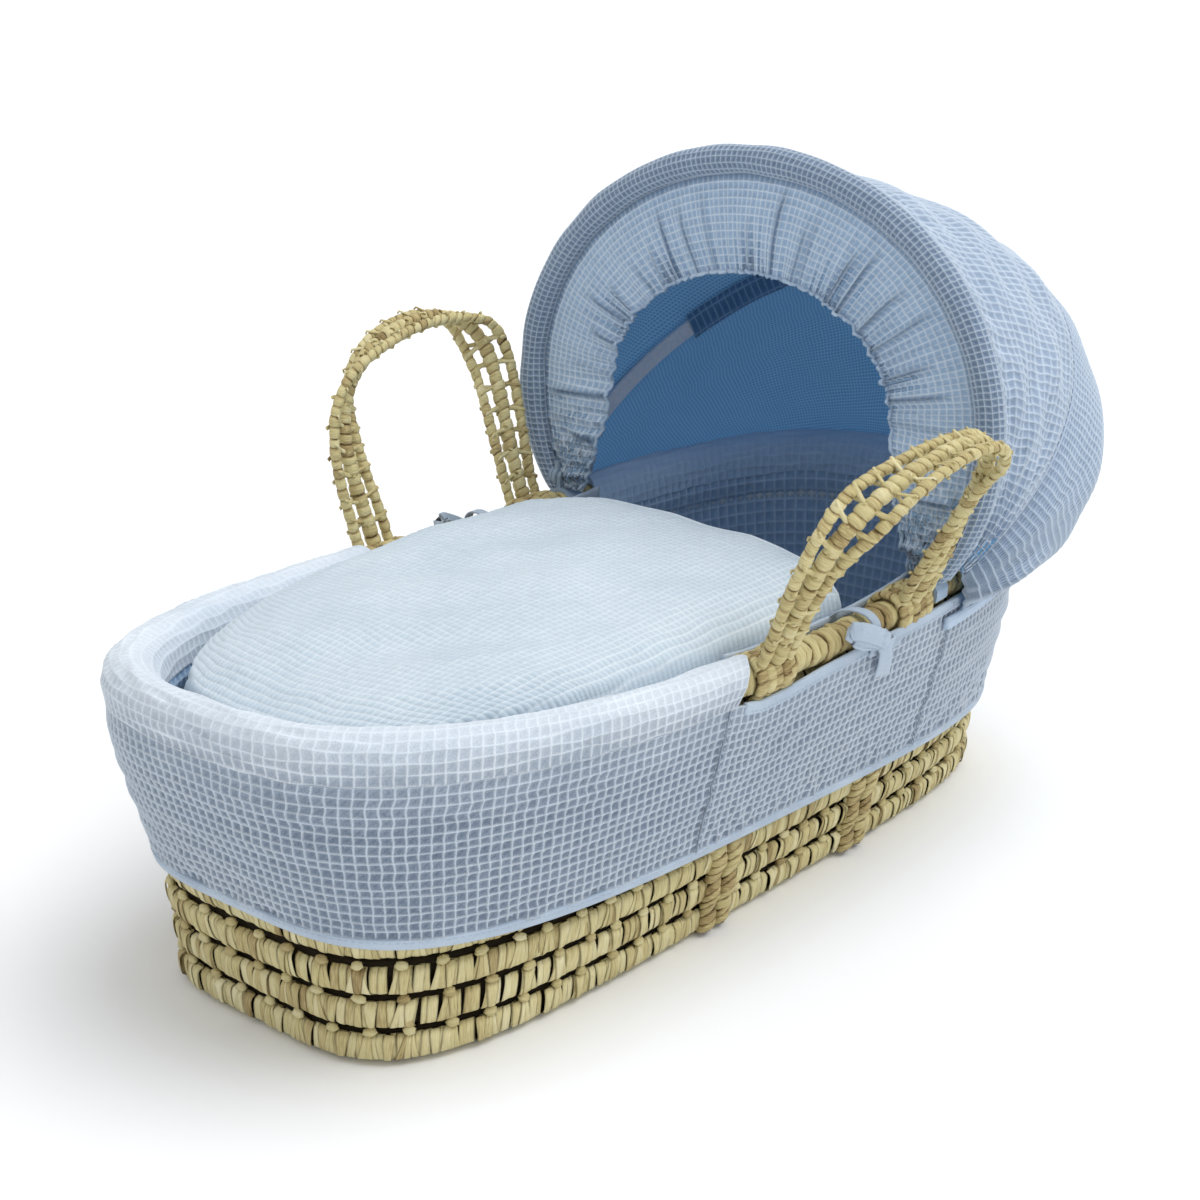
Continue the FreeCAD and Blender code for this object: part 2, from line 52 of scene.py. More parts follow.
OUTLINE_TOP, END_RISE = 237.0, 20.0
BASE_X, FLARE_X, BEND_X = 381.0, 47.0, 1.6
BASE_Y, FLARE_Y, BEND_Y = 148.5, 53.5, 1.15
BASE_POWER, POWER_FALL = 4.45, 1.7
COURSES, PITCH = 8, 25.75
ROLL_HEIGHT, ROLL_INSET = 218.0, 5.0
BAND_PLACES = {"foot": -64.0, "head": 117.0}
SIDES = {"near": -1.0, "far": 1.0}
SLIT = (-92.0, 190.0)
SEAMS = (-115.0, 170.0)
SKIRT_TILT, SKIRT_FOOT, SKIRT_TOP, HEM = -0.035, 87.0, 208.0, 83.4
SKIRT_HEIGHTS = np.array([87.0, 113.6, 153.6, 188.6, 208.0])
SKIRT_OUT_X = np.array([0.8, 4.5, 10.0, 12.0, 9.0])
SKIRT_OUT_Y = np.array([6.0, 7.5, 9.5, 10.5, 9.5])
PIVOT = np.array([157.0, 0.0, 244.0])
BOWS = {
    "front": {"lean": 4.2, "half": 245.0, "belly": 97.0, "crown": 209.6, "behind": 0.0},
    "rear": {"lean": 56.5, "half": 216.0, "belly": 97.0, "crown": 258.4, "behind": 11.7},
}
HANDLES = {"near": (132.0, 62.0), "far": (152.0, 56.0)}
TIE_PLACE = 52.0
PAD_HEIGHT = 220.0
BRIM_START, BRIM_INSET = -12.0, 12.0

# ---- sizes of the cloth and leaf

CELL = 8.0
STEPS = 4
CELL_STEPS = np.array([0.0, 0.15, 0.5, 0.85])
CELL_RIDGES = np.array([1.0, 0.2, 0.0, 0.2])
STITCH, STITCH_GAP = 3.4, 1.5
LEAF_DEEP = 0.7
KNOT_PITCH = 28.5
UNDER_SKIRT = [70.0, 82.0]
ALONG, UP = np.array([1.0, 0.0, 0.0]), np.array([0.0, 0.0, 1.0])
WHITE = (1.0, 1.0, 1.0, 1.0)


def oval(turn, height, out_x, out_y=None, tilt=0.0):
    """Points on the basket's outline at a height, moved out along and across the basket."""
    out_y = out_x if out_y is None else out_y
    turn, height = np.broadcast_arrays(np.asarray(turn, float), np.asarray(height, float))
    cosine, sine = np.cos(turn), np.sin(turn)
    for slope in (tilt, 0.0):
        level = np.maximum(height, 0.0) / OUTLINE_TOP
        power = BASE_POWER - POWER_FALL * level
        a = BASE_X + FLARE_X * level**BEND_X + out_x
        b = BASE_Y + FLARE_Y * level**BEND_Y + out_y
        reach = (abs(cosine) ** power + abs(sine) ** power) ** (-1.0 / power)
        height = height + slope * a * reach * cosine
    x = a * reach * cosine
    return np.stack([x, b * reach * sine, height + END_RISE * level**2 * (x / a) ** 2], -1)


def bow(kind, turn, out=0.0, behind=0.0):
    """Points of a hood bow's curve: turn 0 is the near side, pi the far side."""
    shape = BOWS[kind]
    lean = math.radians(shape["lean"])
    turn, out, behind = np.broadcast_arrays(np.asarray(turn, float), out, behind)
    sine = np.sin(turn)
    crown = np.where(sine >= 0, shape["crown"] + out, shape["crown"])
    up = shape["belly"] + crown * sine
    behind = behind + shape["behind"]
    x = PIVOT[0] + up * math.sin(lean) + behind * math.cos(lean)
    z = PIVOT[2] + up * math.cos(lean) - behind * math.sin(lean)
    return np.stack([x, -(shape["half"] + out) * np.cos(turn), z], -1)


def bow_span(kind, start):
    """First and last turn of a bow that starts a distance above the pivot line."""
    low = math.asin((start - BOWS[kind]["belly"]) / BOWS[kind]["crown"])
    return low, math.pi - low


def clamp(values):
    return np.clip(values, 0.0, 1.0)


def hump(share):
    """Smooth rise and fall over 0 to 1."""
    return np.sin(math.pi * share)


def unit(vectors):
    length = np.linalg.norm(vectors, axis=-1, keepdims=True)
    return vectors / np.maximum(length, 1e-9)


def turn_at(x, height, side):
    """Turn where the outline passes a place along the basket, on the near (-1) or far (1) side."""
    turns = np.linspace(0.0, math.pi, 721)
    found = [np.interp(-x, -oval(turns, h, 0.0)[:, 0], turns) for h in np.atleast_1d(height)]
    return side * np.array(found)


def run_of(path):
    """Length along a path up to each of its points."""
    return np.append(0.0, np.cumsum(np.linalg.norm(np.diff(path, axis=0), axis=1)))


def way_of(path):
    """Unit vectors along a path."""
    return unit(np.gradient(path, axis=0))


def sample(values, run, places):
    """Points or vectors at places along a run."""
    return np.stack([np.interp(places, run, values[:, k]) for k in range(3)], -1)


def ring_turns(total):
    return np.linspace(0.0, 2 * math.pi, total, endpoint=False)


def even_turns(start, finish, total, height, out=0.0):
    """Turns that divide a stretch of the outline into equal lengths, and the stretch's length."""
    turns = np.linspace(start, finish, 1600)
    run = run_of(oval(turns, height, out))
    return np.interp(np.linspace(0.0, run[-1], total), run, turns), run[-1]


def waves(u, v, seed, low=1.0, high=6.0, total=7):
    """Smooth random field, about -1 to 1, over two coordinates that run 0 to 1."""
    rng = np.random.default_rng(seed)
    field = np.zeros(np.broadcast(u, v).shape)
    for _ in range(total):
        fu, fv = rng.uniform(low, high, 2) * rng.choice([-1.0, 1.0], 2)
        field = field + np.sin(2 * math.pi * (fu * u + fv * v) + rng.uniform(0, 6.3))
    return field / math.sqrt(total)


# ---- meshes


class Pile:
    """Vertices, faces and per-vertex values of one piece, in millimetres."""

    def __init__(self):
        self.points, self.blocks, self.total = [], [], 0
        self.values = {"tone": [], "ridge": [], "inside": [], "crease": [], "cloth": []}

    def add(self, points, blocks, tone=0.5, ridge=0.0, inside=0.0, crease=0.0, cloth=None):
        points = np.asarray(points, float).reshape(-1, 3)
        count = len(points)
        self.points.append(points)
        given = {"tone": tone, "ridge": ridge, "inside": inside, "crease": crease}
        for name, value in given.items():
            self.values[name].append(np.broadcast_to(np.asarray(value, float).ravel(), count))
        self.values["cloth"].append(points if cloth is None else np.asarray(cloth).reshape(-1, 3))
        self.blocks += [np.asarray(block) + self.total for block in blocks]
        self.total += count

    def make(self, name, paint, body, node):
        """Piece that stands for a CAD node. A piece with no body is left unattached, and the caller
        bakes its transform.
        """
        mesh = bpy.data.meshes.new(name)
        points = np.concatenate(self.points) * 0.001
        corners = np.concatenate([block.ravel() for block in self.blocks])
        sizes = np.concatenate([np.full(len(b), b.shape[1]) for b in self.blocks])
        mesh.vertices.add(len(points))
        mesh.vertices.foreach_set("co", points.astype(np.float32).ravel())
        mesh.loops.add(len(corners))
        mesh.loops.foreach_set("vertex_index", corners.astype(np.int32))
        mesh.polygons.add(len(sizes))
        starts = np.append(0, np.cumsum(sizes)[:-1])
        mesh.polygons.foreach_set("loop_start", starts.astype(np.int32))
        mesh.polygons.foreach_set("use_smooth", np.full(len(sizes), True))
        mesh.update(calc_edges=True)
        for value, parts in self.values.items():
            kind, field = ("FLOAT_VECTOR", "vector") if value == "cloth" else ("FLOAT", "value")
            layer = mesh.attributes.new(value, kind, "POINT")
            layer.data.foreach_set(field, np.concatenate(parts).astype(np.float32).ravel())
        mesh.materials.append(paint)
        piece = bpy.data.objects.new(name, mesh)
        bpy.context.scene.collection.objects.link(piece)
        if body:
            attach(piece, body)
        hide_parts(node)
        return piece


def grid_faces(rows, columns, wrap_rows=False, wrap_columns=False, flip=False):
    """Quads of a grid whose vertex (i, j) is number i * columns + j."""
    i = np.arange(rows if wrap_rows else rows - 1)[:, None]
    j = np.arange(columns if wrap_columns else columns - 1)[None, :]
    i2, j2 = (i + 1) % rows, (j + 1) % columns
    quads = np.stack([i * columns + j, i2 * columns + j, i2 * columns + j2, i * columns + j2], -1)
    quads = quads.reshape(-1, 4)
    return quads[:, ::-1] if flip else quads


def copies(total, size, *blocks):
    """Faces of a small mesh of size vertices, repeated total times."""
    start = np.arange(total)[:, None, None] * size
    return [(start + block[None]).reshape(-1, block.shape[1]) for block in blocks]


def spread_out(*values):
    """Values broadcast against each other and stacked as vectors."""
    return np.stack(np.broadcast_arrays(*values), -1)


def like(vector, path):
    """A constant vector for every point of a path."""
    return np.broadcast_to(np.asarray(vector, float), path.shape)


def sweep(pile, path, side, up, section, closed=False, **values):
    """Closed bar along a path; section holds (side, up) offsets, anticlockwise about the path."""
    section = np.asarray(section, float)
    points = (path[:, None, :] + side[:, None, :] * section[None, :, :1]
              + up[:, None, :] * section[None, :, 1:])
    rows, columns = points.shape[:2]
    blocks = [grid_faces(rows, columns, closed, True)]
    if not closed:
        blocks.append(np.arange(columns)[None, :])
        blocks.append(((rows - 1) * columns + np.arange(columns))[None, ::-1])
    cloth = spread_out(run_of(path)[:, None], section[None, :, 0], 0.0)
    pile.add(points, blocks, cloth=cloth, **values)


def round_corners(radius_side, radius_up, total=10):
    turns = np.arange(total) * 2 * math.pi / total
    return np.stack([radius_side * np.cos(turns), radius_up * np.sin(turns)], -1)


def tape_section(width, deep):
    half, edge = 0.5 * width, min(0.9, 0.3 * width)
    return [(-half, -0.35 * deep), (-half + edge, -0.5 * deep), (half - edge, -0.5 * deep),
            (half, -0.35 * deep), (half, 0.35 * deep), (half - edge, 0.5 * deep),
            (0.2 * half, 0.42 * deep), (-0.2 * half, 0.42 * deep), (-half + edge, 0.5 * deep),
            (-half, 0.35 * deep)]


def stitches(pile, path, out, radius=0.42):
    """Row of sewn stitches that lie on a path."""
    run = run_of(path)
    half = 0.5 * STITCH
    middles = np.arange(STITCH, run[-1] - STITCH, STITCH + STITCH_GAP)
    a, b, c = (sample(path, run, middles + step) for step in (-half, half, 0.0))
    normal = unit(sample(out, run, middles))
    side = np.cross(unit(b - a), normal)
    ring = [c + normal * radius * 1.3, c + side * radius, c - normal * radius, c - side * radius]
    fans = np.array([[0, 1, 2], [0, 2, 3], [0, 3, 4], [0, 4, 1],
                     [5, 2, 1], [5, 3, 2], [5, 4, 3], [5, 1, 4]])
    pile.add(np.stack([a] + ring + [b], 1), copies(len(middles), 6, fans), ridge=1.0, tone=0.8)


def cell_axis(cells):
    places = (np.arange(cells)[:, None] + CELL_STEPS).ravel() / cells
    return np.append(places, 1.0), np.append(np.tile(CELL_RIDGES, cells), 1.0)


def waffle(pile, place, cells, relief, deep=0.0, *, seed, flip=False, ring=False, sway=0.05,
           under=None, fade=None, lines=(1.0, 1.0), crease=None):
    """Cloth of raised-grid cells over place(u, v), closed at its edges by a plain underside, which
    is under(u, v) or else lies deep below."""
    cells_u, cells_v = cells
    us, ridge_u = cell_axis(cells_u)
    vs, ridge_v = cell_axis(cells_v)
    if ring:
        us, ridge_u = us[:-1], ridge_u[:-1]
    u, v = np.meshgrid(us, vs, indexing="ij")
    u2, v2 = u, v
    if not ring:
        hold = clamp(hump(u) * hump(v) * 6.0)
        u2 = u + sway / cells_u * waves(u, v, seed, 3.0, 0.05 * cells_u + 4.0) * hold
        v2 = v + sway / cells_v * waves(u, v, seed + 1, 3.0, 9.0) * hold
    base = place(u2, v2)
    du = np.roll(base, -1, 0) - np.roll(base, 1, 0) if ring else np.gradient(base, axis=0)
    normal = unit(np.cross(du, np.gradient(base, axis=1))) * (-1.0 if flip else 1.0)
    # ridge is 1 on the raised threads and 0 in the wells; the paint turns it into painted shade in the
    # wells
    ridge = np.maximum(lines[0] * ridge_u[:, None], lines[1] * ridge_v[None, :])
    puff = np.random.default_rng(seed + 2).uniform(0.7, 1.3, (cells_u, cells_v))
    puff = np.repeat(np.repeat(puff, STEPS, 0), STEPS, 1)
    puff = np.pad(puff, ((0, 0 if ring else 1), (0, 1)), mode="edge")
    drop = (1.0 - ridge) * relief * puff
    # fade makes the cells shallower and lifts the ridge value, so the painted well shade fades with
    # them
    if fade is not None:
        drop = drop * fade(u, v)
        ridge = 1.0 - (1.0 - ridge) * fade(u, v)
    front = base - normal * drop[..., None]
    back = (base - normal * deep if under is None else under(u2, v2))[::STEPS, ::STEPS]
    cloth = np.stack([u * cells_u * CELL, v * cells_v * CELL, 0 * u], -1)
    rows, columns = u.shape
    back_rows, back_columns = back.shape[:2]
    offset = rows * columns
    faces = [grid_faces(rows, columns, ring, False, flip),
             grid_faces(back_rows, back_columns, ring, False, not flip) + offset]

    def front_at(i, j):
        return (i % rows if ring else i) * columns + j

    def back_at(i, j):
        return offset + (i % back_rows if ring else i) * back_columns + j

    i, j = np.arange(cells_u), np.arange(cells_v)
    steps = range(STEPS + 1)
    top, back_top = columns - 1, back_columns - 1
    edges = [[back_at(i, 0), back_at(i + 1, 0)] + [front_at(STEPS * (i + 1) - k, 0) for k in steps],
             [front_at(STEPS * i + k, top) for k in steps]
             + [back_at(i + 1, back_top), back_at(i, back_top)]]
    if not ring:
        edges.append([front_at(0, STEPS * j + k) for k in steps]
                     + [back_at(0, j + 1), back_at(0, j)])
        edges.append([back_at(cells_u, j), back_at(cells_u, j + 1)]
                     + [front_at(STEPS * cells_u, STEPS * (j + 1) - k) for k in steps])
    order = -1 if flip else 1
    faces += [np.stack(edge, -1)[:, ::order] for edge in edges]

    def both(values, behind):
        return np.append(values, np.full(back_rows * back_columns, behind))

    pile.add(np.concatenate([front.reshape(-1, 3), back.reshape(-1, 3)]), faces,
             ridge=both(ridge, 0.5), inside=both(0.0 * u, 1.0),
             crease=both(0.0 * u if crease is None else crease(u, v), 0.0),
             cloth=np.concatenate([cloth.reshape(-1, 3), cloth[::STEPS, ::STEPS].reshape(-1, 3)]))


def ribbons(pile, path, across, normal, half, lift, tone):
    """Many leaf strips at once; path, across and normal are (strips, steps, 3)."""
    strips, steps = path.shape[:2]
    sides = np.array([-1.0, -0.55, 0.0, 0.55, 1.0, 0.0])
    rise = np.append(lift * np.array([0.0, 0.8, 1.0, 0.8, 0.0]), -LEAF_DEEP)
    width = sides * half[..., None]
    points = (path[:, :, None, :] + width[..., None] * across[:, :, None, :]
              + rise[:, None] * normal[:, :, None, :])
    columns = len(sides)
    quads = grid_faces(steps, columns, False, True)
    caps = np.array([np.arange(columns), (steps - 1) * columns + np.arange(columns)[::-1]])
    run = np.cumsum(np.linalg.norm(np.diff(path, axis=1), axis=2), 1)
    run = np.concatenate([np.zeros((strips, 1)), run], 1)
    cloth = spread_out(width, run[..., None], np.arange(strips)[:, None, None] * 7.3)
    tones = np.broadcast_to(np.asarray(tone)[:, None, None], points.shape[:3])
    pile.add(points, copies(strips, steps * columns, quads, caps), tone=tones, cloth=cloth)


def ball(lat, lon, swell):
    """Unit ball over a grid, swollen across its axis."""
    return spread_out(np.sin(lat) * np.cos(lon) * swell, np.sin(lat) * np.sin(lon) * swell,
                      np.cos(lat))


def lumps(pile, centres, axes, radii, tone):
    """Small wound knots: ridged balls. axes is (knots, 3, 3), the last row along the winding's axis."""
    rings, columns = 8, 9
    lat = np.linspace(0.06, math.pi - 0.06, rings)[:, None]
    lon = ring_turns(columns)
    local = ball(lat, lon, 1.0 + 0.1 * np.cos(lat * 7.0)) * radii[:, None, None, :]
    points = centres[:, None, None, :] + np.einsum("kijc,kcd->kijd", local, axes)
    count = len(centres)
    quads = grid_faces(rings, columns, False, True, True)
    caps = np.array([np.arange(columns), (rings - 1) * columns + np.arange(columns)[::-1]])
    cloth = spread_out(lat * 6.0, lon * 3.0, np.arange(count)[:, None, None] * 5.7)
    tones = np.broadcast_to(np.asarray(tone)[:, None, None], points.shape[:3])
    pile.add(points, copies(count, rings * columns, quads, caps), tone=tones, cloth=cloth)


def wrapped(pile, path, side, up, radii, pitch, seed, slant, tone):
    """Cord wound with leaf: a core painted dark as the shade between the turns, and one slanting collar
    for each turn of the winding.
    """
    rng = np.random.default_rng(seed)
    run = run_of(path)
    total = max(3, int(round(run[-1] / pitch)))
    bounds = np.linspace(0.0, run[-1], total + 1)
    bounds[1:-1] += rng.uniform(-0.16, 0.16, total - 1) * pitch
    fractions = np.array([0.0, 0.1, 0.4, 0.75, 1.0])
    fullness = np.array([0.78, 1.0, 1.07, 1.02, 0.82])
    # painted shade: each collar's ends are darker where they tuck under the turns beside it
    edge = np.array([-0.42, 0.0, 0.0, 0.0, -0.42])[None, :, None]
    corners = 12
    turns = ring_turns(corners)
    places = bounds[:-1, None] + (np.diff(bounds) * 1.1)[:, None] * fractions[None]
    lean = slant * rng.uniform(0.6, 1.4, total)
    places = places[..., None] + lean[:, None, None] * np.sin(turns + 0.6)
    places = np.clip(places, 0.0, run[-1])
    swell = fullness[None, :, None] * rng.uniform(0.94, 1.06, total)[:, None, None]
    swell = swell * (1.0 + 0.05 * rng.standard_normal((total, 1, corners)))
    points = (sample(path, run, places)
              + sample(side, run, places) * (radii[0] * np.cos(turns) * swell)[..., None]
              + sample(up, run, places) * (radii[1] * np.sin(turns) * swell)[..., None])
    tones = tone + 0.07 * rng.standard_normal(total) - 0.14 * (rng.random(total) < 0.1)
    tones = np.broadcast_to(tones[:, None, None], points.shape[:3])
    cloth = spread_out(places, turns * radii[0], np.arange(total)[:, None, None] * 7.1)
    quads = grid_faces(len(fractions), corners, False, True)
    pile.add(points, copies(total, len(fractions) * corners, quads), tone=tones + edge, cloth=cloth)
    # painted shade: the core is dark where it shows between the collars
    sweep(pile, path, side, up, round_corners(radii[0] * 0.8, radii[1] * 0.8), tone=0.05)


# ---- materials


def linear(rgb):
    """Linear colour for an sRGB colour given as 0 to 255."""
    shares = [c / 255.0 for c in rgb]
    return (*(c / 12.92 if c <= 0.04045 else ((c + 0.055) / 1.055) ** 2.4 for c in shares), 1.0)


class Paint:
    """Node material built up step by step."""

    def __init__(self, name, rough=0.9, sheen=0.0):
        self.material = bpy.data.materials.new(name)
        self.material.use_nodes = True
        self.tree = self.material.node_tree
        self.surface = self.tree.nodes["Principled BSDF"]
        self.surface.inputs["Roughness"].default_value = rough
        self.surface.inputs["Sheen Weight"].default_value = sheen
        self.surface.inputs["Specular IOR Level"].default_value = 0.25

    def node(self, kind, **settings):
        made = self.tree.nodes.new(kind)
        for name, value in settings.items():
            setattr(made, name, value)
        return made

    def put(self, value, socket):
        if isinstance(value, (int, float, tuple)):
            socket.default_value = value
        else:
            self.tree.links.new(value, socket)

    def value(self, name):
        return self.node("ShaderNodeAttribute", attribute_name=name).outputs["Fac"]

    def vector(self, name):
        return self.node("ShaderNodeAttribute", attribute_name=name).outputs["Vector"]

    def place(self):
        return self.node("ShaderNodeTexCoord").outputs["Object"]

    def sum(self, operation, a, b=0.0, c=0.0):
        made = self.node("ShaderNodeMath", operation=operation)
        for value, socket in zip((a, b, c), made.inputs):
            self.put(value, socket)
        return made.outputs[0]

    def stirred(self, value, noise, amount):
        """A value with a noise about 0.5 mixed in."""
        return self.sum("MULTIPLY_ADD", self.sum("SUBTRACT", noise, 0.5), amount, value)

    def stretched(self, vector, scale):
        made = self.node("ShaderNodeMapping", vector_type="POINT")
        self.put(vector, made.inputs["Vector"])
        made.inputs["Scale"].default_value = scale
        return made.outputs[0]

    def noise(self, vector, scale, detail=2.0):
        made = self.node("ShaderNodeTexNoise")
        self.put(vector, made.inputs["Vector"])
        made.inputs["Scale"].default_value = scale
        made.inputs["Detail"].default_value = detail
        return made.outputs["Fac"]

    def ramp(self, factor, stops):
        made = self.node("ShaderNodeValToRGB")
        self.put(factor, made.inputs[0])
        ramp = made.color_ramp
        while len(ramp.elements) < len(stops):
            ramp.elements.new(0.5)
        for element, (place, colour) in zip(ramp.elements, stops):
            element.position = place
            element.color = colour
        return made.outputs[0]

    def mix(self, factor, a, b, kind="MIX"):
        made = self.node("ShaderNodeMix", data_type="RGBA", blend_type=kind)
        self.put(factor, made.inputs[0])
        self.put(a, made.inputs[6])
        self.put(b, made.inputs[7])
        return made.outputs[2]

    def bump(self, height, strength, distance):
        made = self.node("ShaderNodeBump")
        self.put(height, made.inputs["Height"])
        made.inputs["Strength"].default_value = strength
        made.inputs["Distance"].default_value = distance
        self.tree.links.new(made.outputs[0], self.surface.inputs["Normal"])

    def colour(self, value):
        self.put(value, self.surface.inputs["Base Color"])
        return self.material


def grid_lines(paint, cloth, pitch):
    """Pale crossing lines of a woven grid, 0 between lines and 1 on them."""
    split = paint.node("ShaderNodeSeparateXYZ")
    paint.put(cloth, split.inputs[0])
    lines = []
    for axis in (0, 1):
        turn = paint.sum("MULTIPLY", split.outputs[axis], math.pi / pitch)
        wave = paint.sum("ABSOLUTE", paint.sum("COSINE", turn))
        lines.append(paint.sum("POWER", wave, 3.0))
    return paint.sum("MAXIMUM", lines[0], lines[1])


def waffle_paint(name, low, high, inner_low=None, inner_high=None, inner_pitch=4.0, painted_glow=0.0):
    """Cotton waffle: painted shade darkens the wells and creases, and the raised threads are painted
    paler as lit; the inner face may be another weave, and an emission is painted on that face as glow,
    standing in for the light that comes through the cloth."""
    paint = Paint(name, 0.95, 0.3)
    place = paint.place()
    cloth = paint.vector("cloth")
    fuzz = paint.noise(place, 900.0, 2.0)
    cloudy = paint.noise(place, 14.0, 3.0)
    low, high = linear(low), linear(high)
    middle = tuple(p + (q - p) * 0.35 for p, q in zip(low, high))
    # painted shade and light: the colour runs from the dark well colour (low) to the pale thread colour
    # (high) by the ridge value
    ridge = paint.stirred(paint.value("ridge"), fuzz, 0.55)
    colour = paint.ramp(ridge, [(0.0, low), (0.35, middle), (1.0, high)])
    if inner_low:
        weave = paint.stirred(grid_lines(paint, cloth, inner_pitch), fuzz, 0.6)
        inner = paint.ramp(weave, [(0.0, linear(inner_low)), (1.0, linear(inner_high))])
        colour = paint.mix(paint.value("inside"), colour, inner)
        # painted light: the inner face glows with its own weave colour, standing in for light that
        # comes through the cloth
        paint.put(inner, paint.surface.inputs["Emission Color"])
        through = paint.sum("MULTIPLY", paint.value("inside"), painted_glow)
        paint.put(through, paint.surface.inputs["Emission Strength"])
    shade = paint.ramp(cloudy, [(0.3, (0.9, 0.92, 0.94, 1.0)), (0.7, WHITE)])
    colour = paint.mix(1.0, colour, shade, "MULTIPLY")
    # painted shade in creases and in the trough under the brim: the colour is darkened by the crease
    # value
    painted_fold_shade = paint.ramp(paint.value("crease"), [(0.0, WHITE), (1.0, (0.3, 0.36, 0.44, 1.0))])
    colour = paint.mix(1.0, colour, painted_fold_shade, "MULTIPLY")
    threads = paint.sum("ADD", fuzz, grid_lines(paint, cloth, 1.0))
    paint.bump(threads, 0.35, 0.0006)
    return paint.colour(colour)


def palm_paint(name, lift):
    """Dried palm leaf: streaks along each strip, from brown creases to pale straw; the darkest tones
    also paint the shade in the gaps between strips and between the wraps.
    """
    paint = Paint(name, 0.62)
    cloth = paint.vector("cloth")
    streaks = paint.noise(paint.stretched(cloth, (1.3, 0.1, 1.0)), 1.0, 4.0)
    fibres = paint.noise(paint.stretched(cloth, (5.0, 0.3, 1.0)), 1.0, 2.0)
    blotch = paint.noise(paint.place(), 55.0, 3.0)
    spread = paint.stirred(paint.value("tone"), streaks, 0.7)
    spread = paint.sum("ADD", paint.stirred(spread, blotch, 0.2), lift)
    colour = paint.ramp(spread, [
        (0.0, linear((40, 31, 15))), (0.2, linear((112, 92, 54))), (0.42, linear((172, 152, 106))),
        (0.64, linear((206, 194, 142))), (1.0, linear((234, 226, 186)))])
    paint.bump(paint.sum("ADD", streaks, fibres), 0.6, 0.0008)
    return paint.colour(colour)


def tape_paint(name, light, dark):
    """Plain woven tape with fine ribs."""
    paint = Paint(name, 0.9, 0.2)
    place = paint.place()
    fuzz = paint.noise(place, 700.0, 3.0)
    mixed = paint.stirred(paint.noise(place, 22.0, 2.0), fuzz, 0.5)
    paint.bump(paint.sum("ADD", fuzz, grid_lines(paint, paint.vector("cloth"), 1.2)), 0.35, 0.0005)
    return paint.colour(paint.ramp(mixed, [(0.25, linear(dark)), (0.75, linear(light))]))


def plain_paint(name, light, dark, rough, metal=0.0, scale=300.0):
    """Moulded or metal part with faint unevenness."""
    paint = Paint(name, rough)
    paint.surface.inputs["Metallic"].default_value = metal
    speck = paint.noise(paint.place(), scale, 4.0)
    paint.bump(speck, 0.15, 0.0003)
    return paint.colour(paint.ramp(speck, [(0.3, linear(dark)), (0.7, linear(light))]))


SKIRT = waffle_paint("waffle_skirt", (110, 126, 146), (212, 223, 235),
                     (150, 168, 188), (190, 204, 220))
PAD = waffle_paint("waffle_pad", (116, 132, 152), (226, 235, 244))
LINING = waffle_paint("waffle_lining", (140, 172, 206), (186, 212, 238),
                      (160, 178, 198), (196, 210, 224))
COVERLET = waffle_paint("waffle_coverlet", (192, 208, 220), (228, 238, 245),
                        (190, 206, 220), (208, 220, 231), 6.0)
# the hood's inner face gets a painted glow of 0.13
HOOD = waffle_paint("waffle_hood", (140, 160, 186), (208, 222, 237),
                    (84, 148, 198), (140, 190, 228), 3.4, 0.13)
BRIM = waffle_paint("waffle_brim", (104, 126, 154), (196, 211, 228))
SLEEVE = waffle_paint("waffle_sleeve", (80, 124, 162), (150, 184, 214))
RUFFLE = waffle_paint("waffle_ruffle", (156, 184, 214), (224, 238, 252),
                      (120, 154, 190), (160, 188, 216))
TAPE = tape_paint("tape", (190, 204, 219), (164, 181, 200))
HOOD_TAPE = tape_paint("hood_tape", (196, 213, 232), (166, 188, 213))
PALM = palm_paint("palm_leaf", 0.03)
CORD = palm_paint("palm_cord", 0.0)
TICKING = tape_paint("ticking", (236, 236, 232), (222, 224, 222))
FOAM = plain_paint("foam", (238, 233, 214), (226, 220, 198), 0.9, 0.0, 500.0)
PLASTIC = plain_paint("hood_plastic", (160, 179, 200), (146, 166, 188), 0.5)
STEEL = plain_paint("pin_steel", (190, 192, 196), (160, 162, 168), 0.35, 1.0)
STRIP = plain_paint("hood_strip", (244, 244, 248), (230, 232, 238), 0.5)
WIRE = plain_paint("hood_wire", (182, 190, 198), (160, 168, 178), 0.4, 0.6)
ELASTIC = tape_paint("elastic", (192, 210, 230), (148, 174, 202))

# ---- palm wall


def wall_frame(turn, height, out):
    """Points on the wall with unit vectors along the course, outwards and up the wall."""
    here = oval(turn, height, out)
    ahead = oval(turn + 0.004, height, out) - oval(turn - 0.004, height, out)
    up = oval(turn, height + 1.0, out) - oval(turn, height - 1.0, out)
    ahead, up = unit(ahead), unit(up)
    return here, ahead, unit(np.cross(ahead, up)), up


def course_profile(share, foot):
    """How far a course's strips stand out, from its bottom (0) to its top (1)."""
    low_edge = clamp(1 - share / 0.22) ** 2
    high_edge = clamp(1 - (1 - share) / 0.16) ** 2
    slope = 0.8 * (share - 0.5)
    return 0.6 + slope + 1.2 * hump(share) - foot * low_edge - 4.0 * high_edge


